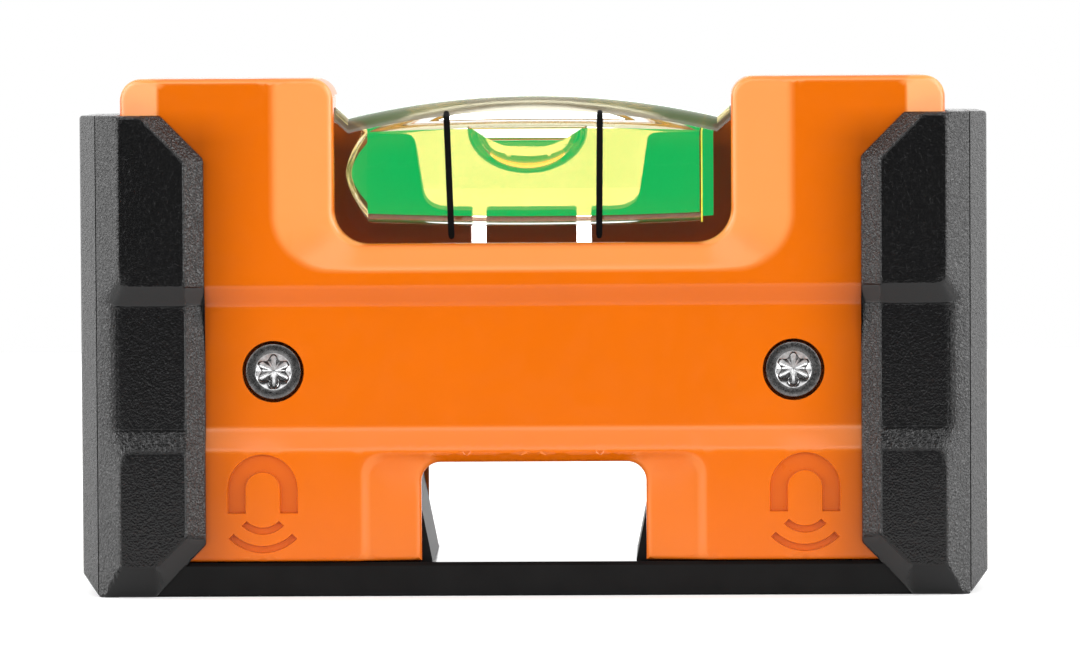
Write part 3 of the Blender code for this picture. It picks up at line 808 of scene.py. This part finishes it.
def line_ink():
    n = Nodes("line_ink")
    tone = n.spread(n.noise(2500.0, 3.0), 0.4, 0.8)
    n.set(
        Base_Color=n.mix(tone, (0.001, 0.001, 0.001, 1), (0.003, 0.003, 0.003, 1)),
        Roughness=0.35,
        IOR=1.25,
    )
    return n.mat


def pale_floor():
    n = Nodes("pale_floor")
    tone = n.spread(n.noise(6.0, 2.0), 0.3, 0.7)
    n.set(
        Base_Color=n.mix(tone, (0.86, 0.86, 0.86, 1), (0.89, 0.89, 0.89, 1)),
        Roughness=0.8,
        Emission_Color=(1, 1, 1, 1),
    )
    through, camera_ray = seen_through(n.tree)
    glow = n.math("MULTIPLY", through, BACKLIGHT)
    n.set(Emission_Strength=n.math("ADD", glow, n.math("MULTIPLY", camera_ray, 0.25)))
    return n.mat


# Housing

def housing_side(ear_inner):
    return [
        (WINDOW_HALF, BODY_FOOT, 0),
        (BODY_HALF, BODY_FOOT, 0),
        (BODY_HALF, EAR_TOP, EAR_RADIUS),
        (ear_inner, EAR_TOP, EAR_RADIUS),
    ]


def window_roof():
    return [(-WINDOW_HALF, WINDOW_ROOF, WINDOW_RADIUS), (WINDOW_HALF, WINDOW_ROOF, WINDOW_RADIUS)]


def front_outline():
    right_half = housing_side(EAR_INNER) + [(EAR_INNER, NOTCH_FLOOR, NOTCH_RADIUS)]
    return spaced(rounded(both_sides(right_half) + window_roof()), 0.8)


def rear_outline():
    """The rear half's outline, with the vial's lower opening and two slots in its sill."""
    centre, width = REAR_SLOT
    opening = [
        (*REAR_SHOULDER, 1.0),
        (*REAR_SILL, 2.4),
        (centre + 0.5 * width, REAR_SILL[1], 0.2),
        (centre + 0.5 * width, REAR_SLOT_FLOOR, 0.2),
        (centre - 0.5 * width, REAR_SLOT_FLOOR, 0.2),
        (centre - 0.5 * width, REAR_SILL[1], 0.2),
    ]
    ear = housing_side(REAR_EAR_INNER) + [(REAR_EAR_INNER, REAR_SHOULDER[1], 0.5)]
    shifted = [(x + REAR_SHIFT, z, radius) for x, z, radius in both_sides(opening)]
    corners = ear + shifted + [(-x, z, radius) for x, z, radius in reversed(ear)] + window_roof()
    return spaced(rounded(corners, 0.3), 0.8)


def slot_line(half, end, radius, reach):
    """An open line round a slot's border, from one side to the other."""
    corners = rounded([(half, reach, 0), (half, end, radius), (-half, end, radius), (-half, reach, 0)])
    return spaced(corners, 0.7, closed=False)


def level_line(z, half):
    return spaced([(-half, z), (half, z)], 1.2, closed=False)


def housing_guides(with_cove):
    bend = (-0.4, -0.25, -0.1, 0.1, 0.25, 0.4)
    lines = [(level_line(z, BODY_HALF), bend) for z in (*WAIST_LOW, *WAIST_HIGH)]
    scoop = slot_line(*SCOOP, BODY_FOOT)
    lines.append((scoop, (-0.8, -0.5, -0.2, 0.0, 0.2, 0.5, 0.8)))
    for side in (-1, 1):
        edge = side * (BODY_HALF - SIDE_CHAMFER[0])
        lines.append((spaced([(edge, 37.0), (edge, EAR_TOP)], 1.0, closed=False), bend))
    if with_cove:
        lines.append((slot_line(*COVE, EAR_TOP), (-0.6, -0.3, 0.0, 0.3, 0.6)))
    return lines


def core_outline():
    side = BODY_HALF - WALL
    half = [(side, BODY_FOOT - 1.0, 0), (side, CORE_TOP, 1.0), (CORE_EAR, CORE_TOP, 1.0)]
    half.append((CORE_EAR, CORE_ROOF, 1.0))
    return rounded(both_sides(half))


def hollow_housing(shell, facing):
    """Cut the moulding's inside: its core, the vial's seat and the bosses' surroundings."""
    deep, over = facing * (BODY_FACE - WALL), -facing * 1.0
    cut(shell, prism_tool(core_outline(), min(deep, over), max(deep, over)))
    seat = facing * (VIAL_HIGH[1] + SEAT_PLAY)
    low = (VIAL_LOW[0] - SEAT_PLAY, min(seat, over), VIAL_LOW[2] - 0.2)
    high = (VIAL_HIGH[0] + SEAT_PLAY, max(seat, over), VIAL_HIGH[2] + 0.2)
    cut(shell, box_tool(low, high))
    for side in (-1, 1):
        ends = sorted((facing * BOSS_START, facing * (BODY_FACE - WALL + 0.3)))
        join(shell, cylinder_tool(BOSS_RADIUS, side * SCREW_X, SCREW_Z, *ends, 48))


def tag_seat(shell):
    """Mark the vial's seat: its floor, which gets a painted glow in place of the light gathering there,
    and its walls, which get painted shade.
    """
    reach = SEAT_PLAY + 0.05
    for face in shell.data.polygons:
        x, y, z = face.center / MM
        inside = abs(x) < VIAL_HIGH[0] + reach and abs(y) < VIAL_HIGH[1] + reach
        if inside and z > VIAL_LOW[2] - 0.5:
            # Index 2 is the floor's painted glow, index 3 the walls' painted shade
            face.material_index = 2 if face.normal.z > 0.9 and z < VIAL_LOW[2] else 3


def front_shell(*mats):
    shell = relief(
        "front_shell_moulding", front_outline(), lambda p: housing_depth(p, True), BODY_FACE,
        PART_GAP, -1, loops=symbol_loops(), loop_depth=SYMBOL_DEPTH, guides=housing_guides(True),
    )
    hollow_housing(shell, -1)
    for side in (-1, 1):
        x = side * SCREW_X
        radius, depth = COUNTERBORE
        cut(shell, cylinder_tool(radius, x, SCREW_Z, -CAP_FACE - 1.0, -SCREW_FACE + depth))
        cut(shell, cylinder_tool(CLEARANCE, x, SCREW_Z, -CAP_FACE - 1.0, 1.0, 32))
    tag_seat(shell)
    place(shell, "front_shell", "housing", *mats)
    return shell


def rear_shell(*mats):
    shell = relief(
        "rear_shell_moulding", rear_outline(), lambda p: housing_depth(p, False), BODY_FACE,
        PART_GAP, 1, guides=housing_guides(False),
    )
    hollow_housing(shell, 1)
    inner = VIAL_HIGH[1] + SEAT_PLAY
    for x in REAR_RIBS:
        low = (x - 0.8, inner - 0.01, REAR_SILL[1] - 3.5)
        high = (x + 0.8, inner + 0.3, REAR_SILL[1])
        join(shell, box_tool(low, high))
    tag_seat(shell)
    place(shell, "rear_shell", "housing", *mats)
    return shell


# End caps

def cap_outline():
    """The widest outline of the right end cap."""
    corners = [
        (CAP_EDGE, 38.6, 0.8),
        (CAP_EDGE, 4.6, 0.5),
        (33.25, 0.0, 0.3),
        (38.3, 0.0, 0.3),
        (CAP_END, 1.9, 0.3),
        (CAP_END, CAP_TOP, 0.3),
        (32.6, CAP_TOP, 0.4),
    ]
    return spaced(rounded(corners, 0.15), 0.5)


def cap_waist_field(z):
    """The waist's depth with its slopes carried on above the face, so that corners can be rounded."""
    high = WAIST_DEPTH * (WAIST_HIGH[1] - z) / (WAIST_HIGH[1] - WAIST_HIGH[0])
    low = WAIST_DEPTH * (z - WAIST_LOW[0]) / (WAIST_LOW[1] - WAIST_LOW[0])
    return WAIST_DEPTH - soft_relu(WAIST_DEPTH - np.minimum(high, low), 0.1)


def cap_depth(points):
    x, z = np.abs(points[:, 0]), points[:, 1]
    outer = x - PANEL_OUTER + CAP_SIDE_SLOPE * soft_relu(x - CAP_SEAM, 0.05)
    top = 1.2 * soft_relu(z - PANEL_TOP, 0.08)
    foot = 0.6 * soft_relu(PANEL_FOOT - z, 0.08)
    inner = CAP_INNER_SLOPE * soft_relu(PANEL_INNER - x, 0.1)
    high_corner = 1.19 * soft_relu((z - x - 7.9) / math.sqrt(2), 0.1)
    low_corner = 0.89 * soft_relu((35.85 - x - z) / math.sqrt(2), 0.1)
    flank = soft_relu(smooth_max(outer, cap_waist_field(z), 1.1), 0.12)
    rim = np.maximum(np.maximum(top, foot), np.maximum(high_corner, low_corner))
    return np.maximum(np.maximum(flank, rim), inner + waist(z, 0.2))


def cap_guides(side):
    bend = (-0.3, -0.15, 0.0, 0.15, 0.3)
    lines = []
    for x in (PANEL_INNER, PANEL_OUTER, PANEL_OUTER + WAIST_DEPTH, CAP_SEAM):
        lines.append((spaced([(side * x, 0.5), (side * x, CAP_TOP)], 0.6, closed=False), bend))
    for z in (*WAIST_LOW, *WAIST_HIGH, PANEL_FOOT):
        lines.append((spaced([(side * CAP_EDGE, z), (side * CAP_END, z)], 0.5, closed=False), bend))
    for a, b in (((30.5, 38.4), (34.4, 42.3)), ((30.5, 5.35), (33.2, 2.65))):
        ends = [(side * a[0], a[1]), (side * b[0], b[1])]
        lines.append((spaced(ends, 0.5, closed=False), bend))
    return lines


def cap_relief(name, side, facing, back):
    outline = cap_outline() * (side, 1)
    if side < 0:
        outline = outline[::-1]
    return relief(
        name, outline, cap_depth, CAP_FACE, back, facing, edge_radius=0.18,
        guides=cap_guides(side), spacing=0.9, seam=0.02,
    )


def ordered_box(side, inner, outer, low_y, high_y):
    xs = sorted((side * inner, side * outer))
    return box_tool((xs[0], low_y, -1.0), (xs[1], high_y, EAR_TOP))


def pocket_tool(side):
    """The space that the housing fills inside a cap, with the housing's waist."""
    deep = CAP_POCKET_HALF
    slim = deep - WAIST_DEPTH
    half = [(deep, -1.0), (deep, WAIST_LOW[0]), (slim, WAIST_LOW[1]), (slim, WAIST_HIGH[0])]
    half += [(deep, WAIST_HIGH[1]), (deep, EAR_TOP)]
    outline = half + [(-y, z) for y, z in reversed(half)]
    ends = (side * (CAP_EDGE - 1.0), side * CAP_POCKET_END)
    return loft_rings("tool", [[(x, y, z) for y, z in outline] for x in ends])


def end_cap(side, label, mat):
    front = cap_relief(f"end_cap_{label}_front_moulding", side, -1, PART_GAP)
    cut(front, pocket_tool(side))
    cut(front, ordered_box(side, CAP_SEAM, CAP_END + 1.0, -CAP_FACE - 1.0, CAP_FACE))
    place(front, f"end_cap_{label}_front", "grip", mat)

    rear = cap_relief(f"end_cap_{label}_rear_moulding", side, 1, PART_GAP)
    strip = cap_relief("strip", side, -1, -0.5)
    cut(strip, ordered_box(side, CAP_EDGE - 1.0, CAP_SEAM + 0.09, -CAP_FACE - 1.0, CAP_FACE))
    join(rear, strip)
    cut(rear, pocket_tool(side))
    place(rear, f"end_cap_{label}_rear", "grip", mat)


# Screws

SHANK_RADIUS = 1.15
LOBES = (1.21, 0.19)  # the recess's mean radius and how far it swings


def screw(side, label, head_mat, recess_mat):
    """A pan head with a chamfered six-lobed recess that ends in a cone."""
    turn = np.linspace(0, 2 * np.pi, 144, endpoint=False)
    lobes = LOBES[0] + LOBES[1] * np.cos(6 * (turn - np.pi / 2))
    head = 0.5 * (SCREW_HIGH[0] - SCREW_LOW[0])
    steps = [
        (SHANK_RADIUS, 12.0), (SHANK_RADIUS, 1.52), (head, 1.5), (head, 0.25), (head - 0.03, 0.1),
        (head - 0.1, 0.02), (head - 0.16, 0.0), (1.62, 0.0), (1.56, 0.03), (lobes + 0.09, 0.16),
        (lobes, 0.24), (lobes - 0.03, 0.95), (0.75 * lobes, 1.1), (0.06, 1.45),
    ]
    rings = []
    for radius, depth in steps:
        x = side * SCREW_X + radius * np.cos(turn)
        z = SCREW_Z + radius * np.sin(turn)
        rings.append(np.stack([x, np.full_like(turn, -SCREW_FACE + depth), z], axis=1))
    piece = loft_rings(f"screw_{label}_turned", rings, smooth_angle=30)
    for face in piece.data.polygons:
        x, y, z = face.center / MM
        inside = math.hypot(x - side * SCREW_X, z - SCREW_Z) < 1.6
        wall = 0.14 < y + SCREW_FACE < 0.98
        face.material_index = int(inside and not wall)
    place(piece, f"screw_{label}", "screw", head_mat, recess_mat)


# Vial

BORE_AXIS = 37.1
BORE_RADIUS = 4.8
BARREL_RADIUS = 300.0
CONE_START = -14.7
CROWN_EDGE = 1.6
BUBBLE_RADII = (4.3, 4.15)  # across and upright
BUBBLE_CENTRE = 41.15
BUBBLE_BORE = 4.36
LINE_ENDS = (31.3, 42.65)
VIAL_SHOULDER = (16.3, 42.0)
VIAL_COLLAR = (17.4, 43.0)


def barrel_radius(x):
    return BORE_RADIUS - x * x / (2 * BARREL_RADIUS)


def crown_height(x):
    shoulder_x, shoulder_z = VIAL_SHOULDER
    sagitta = VIAL_HIGH[2] - shoulder_z
    radius = (shoulder_x ** 2 + sagitta ** 2) / (2 * sagitta)
    return VIAL_HIGH[2] - radius + math.sqrt(radius ** 2 - x ** 2)


def block_top(x):
    """The block's height: a crown between two collars."""
    x = abs(x)
    if x <= VIAL_SHOULDER[0]:
        return crown_height(x)
    rise = min((x - VIAL_SHOULDER[0]) / (VIAL_COLLAR[0] - VIAL_SHOULDER[0]), 1.0)
    return VIAL_SHOULDER[1] + rise * (VIAL_COLLAR[1] - VIAL_SHOULDER[1])


def block_section(x, inset=0.0):
    """Points round the block: almost square below, with well rounded edges above."""
    low, half, top = VIAL_LOW[2] + inset, VIAL_HIGH[1] - inset, block_top(x) - inset
    corners = [(half, low, 0.2), (half, top, CROWN_EDGE), (-half, top, CROWN_EDGE), (-half, low, 0.2)]
    return [(x, y, z) for y, z in rounded(corners, 0.16)]


def vial_block(mat, edge_mat, end_mat):
    end = VIAL_HIGH[0]
    crown = np.linspace(-VIAL_SHOULDER[0], VIAL_SHOULDER[0], 61)
    stations = [-end + 0.2, -VIAL_COLLAR[0], *crown, VIAL_COLLAR[0], end - 0.2]
    rings = [block_section(-end, 0.15), *(block_section(x) for x in stations), block_section(end, 0.15)]
    block = loft_rings("vial_block_moulding", rings)
    weigh_normals(block)
    for face in block.data.polygons:
        edge = abs(face.normal.y) > 0.2 and face.normal.z > 0.2
        face.material_index = int(edge and abs(face.normal.x) < 0.5)
        if abs(face.normal.x) > 0.9:
            face.material_index = 2
    place(block, "vial_block", "vial_clear", mat, edge_mat, end_mat)


def barrel_rings(stations, turn, share=1.0):
    """Rings of the barrel at (x, share of the radius) stations."""
    rings = []
    for x, part in stations:
        radius = (barrel_radius(max(x, CONE_START)) - 0.02) * part * share
        rings.append(np.stack([
            np.full_like(turn, x), radius * np.cos(turn), BORE_AXIS + radius * np.sin(turn)
        ], axis=1))
    return rings


def vial_fluid(mat, glow):
    """The liquid's surface fills the barrel; its colour is a body in the rear half of it."""
    right = PLUG_LOW[0] - 0.05
    stations = [(x, 1.0) for x in np.linspace(right, CONE_START, 48)]
    stations += [(-15.45, 0.76), (-16.1, 0.5), (-16.5, 0.28), (-16.68, 0.12), (-16.72, 0.02)]
    turn = np.linspace(0, 2 * np.pi, 128, endpoint=False)
    surface = loft_rings("vial_fluid_surface", barrel_rings(stations, turn), smooth_angle=30)
    place(surface, "vial_fluid", "vial_fluid", mat)
    half_turn = np.radians(np.linspace(-78, 78, 65))
    inner = [(x + (0.1 if part < 1 else -0.1), part) for x, part in stations]
    body = loft_rings("vial_fluid_body", barrel_rings(inner, half_turn, 0.915), smooth_angle=30)
    place(body, "vial_fluid", "vial_fluid", glow)


def vial_plug(mat, glue_mat):
    turn = np.linspace(0, 2 * np.pi, 96, endpoint=False)
    start, end = PLUG_LOW[0] + 0.1, PLUG_LOW[0] + 1.05
    plug = loft_rings("vial_plug_stopper", barrel_rings([(start, 0.9), (end, 0.9)], turn))
    place(plug, "vial_plug", "vial_plug", mat)
    low, high = PLUG_LOW[0] - 0.04, PLUG_LOW[0] + 0.09
    steps = [(low, 1.0), (high, 1.0), (high, 0.93), (low, 0.93)]
    washer = loft_loop("vial_plug_glue", barrel_rings(steps, turn, 1.02))
    place(washer, "vial_plug", "vial_plug", glue_mat)


def bubble(mat):
    """Air that fills the barrel's top and hangs down in a round belly, a little short of its node."""
    half_length = 0.49 * (BUBBLE_HIGH[0] - BUBBLE_LOW[0])
    centre_x = 0.5 * (BUBBLE_HIGH[0] + BUBBLE_LOW[0])
    bm = bmesh.new()
    bmesh.ops.create_uvsphere(bm, u_segments=128, v_segments=64, radius=1.0)
    bmesh.ops.scale(bm, vec=Vector((half_length, *BUBBLE_RADII)) * MM, verts=bm.verts)
    bmesh.ops.translate(bm, vec=Vector((centre_x, 0, BUBBLE_CENTRE)) * MM, verts=bm.verts)
    piece = mesh_object("bubble_air", bm, 80)
    turn = np.linspace(0, 2 * np.pi, 128, endpoint=False)
    y, z = BUBBLE_BORE * np.cos(turn), BORE_AXIS + BUBBLE_BORE * np.sin(turn)
    ends = [np.stack([np.full_like(turn, x), y, z], axis=1) for x in (-8.0, 7.0)]
    combine(piece, loft_rings("tool", ends), "INTERSECT", 30)
    place(piece, "bubble", "bubble", mat)


def vial_line(label, lean, mat):
    """A line printed on the block's front, up over the start of its crown's edge."""
    low, high = box_mm(f"vial_line_{label}")
    centre, half = 0.5 * (low[0] + high[0]), 0.5 * (high[0] - low[0])
    bottom, top = LINE_ENDS
    bend = block_top(centre) - CROWN_EDGE
    rings = []
    for z in [bottom, *np.linspace(bottom + 0.08, top - 0.08, 40), top]:
        end = min(z - bottom, top - z)
        wide = half * math.sqrt(max(1 - max(1 - end / half, 0) ** 2, 0.03))
        x = centre + lean * (1 - 2 * (z - bottom) / (top - bottom))
        set_back = CROWN_EDGE - math.sqrt(CROWN_EDGE ** 2 - max(z - bend, 0) ** 2)
        y = -VIAL_HIGH[1] + set_back
        corners = [(x - wide, y - 0.03), (x + wide, y - 0.03), (x + wide, y + 0.03), (x - wide, y + 0.03)]
        rings.append([(px, py, z) for px, py in corners])
    piece = loft_rings(f"vial_line_{label}_print", rings)
    place(piece, f"vial_line_{label}", "vial_line", mat)


# Stage, light and camera

BACKLIGHT = 6.0  # the room's and table's strength through clear parts
ROOM_FRONT, ROOM_BACK = 0.08, 1.6
TABLE_EDGE, TABLE_BACK = 0.11, 0.45  # metres in front of the object and behind it


def stage(mat):
    """A white table whose front edge is just below the view, so the housing faces a dark room."""
    bm = bmesh.new()
    bmesh.ops.create_grid(bm, x_segments=2, y_segments=2, size=0.5)
    bmesh.ops.scale(bm, vec=(2.0, TABLE_EDGE + TABLE_BACK, 1.0), verts=bm.verts)
    bmesh.ops.translate(bm, vec=(0, 0.5 * (TABLE_BACK - TABLE_EDGE), 0), verts=bm.verts)
    floor = mesh_object("floor", bm)
    floor.data.materials.append(mat)


def seen_through(tree):
    """1 for light that reaches the eye through clear parts alone, 0 otherwise."""
    path = tree.nodes.new("ShaderNodeLightPath")
    bounces = tree.nodes.new("ShaderNodeMath")
    tree.links.new(path.outputs["Diffuse Depth"], bounces.inputs[0])
    tree.links.new(path.outputs["Glossy Depth"], bounces.inputs[1])
    direct = tree.nodes.new("ShaderNodeMath")
    direct.operation = "LESS_THAN"
    tree.links.new(bounces.outputs[0], direct.inputs[0])
    direct.inputs[1].default_value = 0.5
    both = tree.nodes.new("ShaderNodeMath")
    both.operation = "MULTIPLY"
    tree.links.new(direct.outputs[0], both.inputs[0])
    tree.links.new(path.outputs["Is Transmission Ray"], both.inputs[1])
    return both.outputs[0], path.outputs["Is Camera Ray"]


def pick_float(tree, factor, a, b):
    node = tree.nodes.new("ShaderNodeMix")
    node.data_type = "FLOAT"
    tree.links.new(factor, node.inputs["Factor"])
    for socket, value in ((node.inputs["A"], a), (node.inputs["B"], b)):
        if isinstance(value, bpy.types.NodeSocket):
            tree.links.new(value, socket)
        else:
            socket.default_value = value
    return node.outputs["Result"]


def world():
    """White to the eye, brighter through the vial; to the object, bright behind and dim in front."""
    scene_world = bpy.data.worlds.new("studio")
    bpy.context.scene.world = scene_world
    scene_world.use_nodes = True
    tree = scene_world.node_tree
    background = tree.nodes["Background"]
    coords = tree.nodes.new("ShaderNodeTexCoord")
    split = tree.nodes.new("ShaderNodeSeparateXYZ")
    tree.links.new(coords.outputs["Generated"], split.inputs[0])
    shade = tree.nodes.new("ShaderNodeMapRange")
    shade.inputs["From Min"].default_value = -0.3
    shade.inputs["From Max"].default_value = 0.5
    shade.inputs["To Min"].default_value = ROOM_FRONT
    shade.inputs["To Max"].default_value = ROOM_BACK
    tree.links.new(split.outputs["Y"], shade.inputs["Value"])
    through, camera_ray = seen_through(tree)
    strength = pick_float(tree, through, shade.outputs["Result"], BACKLIGHT)
    strength = pick_float(tree, camera_ray, strength, 1.0)
    tree.links.new(strength, background.inputs["Strength"])
    background.inputs["Color"].default_value = (1, 1, 1, 1)


def softbox(name, azimuth, elevation, wide, high, radiance, distance=0.9):
    """A panel facing the object; azimuth 0 is in front and 90 to the right, all in degrees."""
    light = bpy.data.lights.new(name, "AREA")
    light.shape = "RECTANGLE"
    light.size = 2 * distance * math.tan(math.radians(wide / 2))
    light.size_y = 2 * distance * math.tan(math.radians(high / 2))
    light.energy = radiance * math.pi * light.size * light.size_y
    obj = bpy.data.objects.new(name, light)
    bpy.context.scene.collection.objects.link(obj)
    turn, rise = math.radians(azimuth), math.radians(elevation)
    away = Vector((math.sin(turn) * math.cos(rise), -math.cos(turn) * math.cos(rise), math.sin(rise)))
    obj.location = away * distance + Vector((0, 0, 0.022))
    obj.rotation_euler = (-away).to_track_quat("-Z", "Y").to_euler()
    obj.visible_camera = False
    return obj


def lights():
    softbox("softbox_left", -46, 10, 38, 24, 3.3)
    softbox("softbox_right", 46, 10, 38, 24, 3.7)
    softbox("softbox_far_left", -82, 18, 40, 42, 5.6)
    softbox("softbox_far_right", 82, 18, 40, 42, 6.2)
    softbox("softbox_top", 0, 31, 60, 24, 2.4)


def camera():
    """A long lens, a little above the object and right of its middle."""
    data = bpy.data.cameras.new("camera")
    data.sensor_width = 36.0
    distance, scale = 0.600, 11.208
    image_width = 1080
    data.lens = data.sensor_width * scale * distance / MM / image_width
    data.clip_start, data.clip_end = 0.01, 50.0
    obj = bpy.data.objects.new("camera", data)
    bpy.context.scene.collection.objects.link(obj)
    obj.location = (0.0131, -distance, 0.0491)
    yaw, pitch, roll = math.radians(1.21), math.radians(-2.52), math.radians(-0.33)
    turn = Matrix.Rotation(yaw, 4, "Z") @ Matrix.Rotation(math.radians(90) + pitch, 4, "X")
    obj.rotation_euler = (turn @ Matrix.Rotation(roll, 4, "Z")).to_euler()
    bpy.context.scene.camera = obj


def colours():
    """Shown as lit: the studio's white stays white."""
    settings = bpy.context.scene.view_settings
    settings.view_transform = "Standard"
    settings.look = "None"


def build():
    colour = (0.655, 0.126, 0.0004)
    orange = orange_plastic("orange_plastic", colour, 0.21)
    # The symbols' floors: a rougher etched finish, and a darker tone that is painted shade in the
    # recesses
    etched_and_shaded = orange_plastic("orange_plastic_etched_and_shaded", (0.62, 0.108, 0.0004), 0.30)
    # Painted glow for the seat's floor, in place of light that falls there
    lit = orange_plastic("orange_plastic_painted_glow", colour, 0.21, glow=2.2)
    # Painted shade for the seat's walls, darker towards the seat's bottom
    dim = seat_wall_painted_shade((0.20, 0.030, 0.0004), colour)
    front_shell(orange, etched_and_shaded, lit, dim)
    rear_shell(orange, etched_and_shaded, lit, dim)
    grip = grip_rubber()
    zinc = screw_zinc("screw_zinc", 0.10, 0.20, 0.24)
    recess = screw_zinc("screw_recess", 0.30, 0.52, 0.13)
    ink = line_ink()
    for side, label in ((-1, "left"), (1, "right")):
        end_cap(side, label, grip)
        screw(side, label, zinc, recess)
        vial_line(label, 0.2 if side < 0 else -0.06, ink)
    repaint("base_rail", rail_plastic())
    for label in ("left", "right"):
        repaint(f"magnet_{label}", plated_steel("magnet_nickel", (0.72, 0.70, 0.66), 0.22))
        repaint(f"keeper_{label}", plated_steel("keeper_steel", (0.45, 0.46, 0.47), 0.34))
    vial_block(clear_acrylic(), dull_acrylic_painted_reflection(), block_end_painted_glow())
    vial_fluid(spirit(), spirit_glow("spirit_glow", 0.37))
    bubble(trapped_air())
    vial_plug(spirit_glow("plug_glow", 0.34), glue_painted_glow())
    stage(pale_floor())
    world()
    lights()
    camera()
    colours()


build()
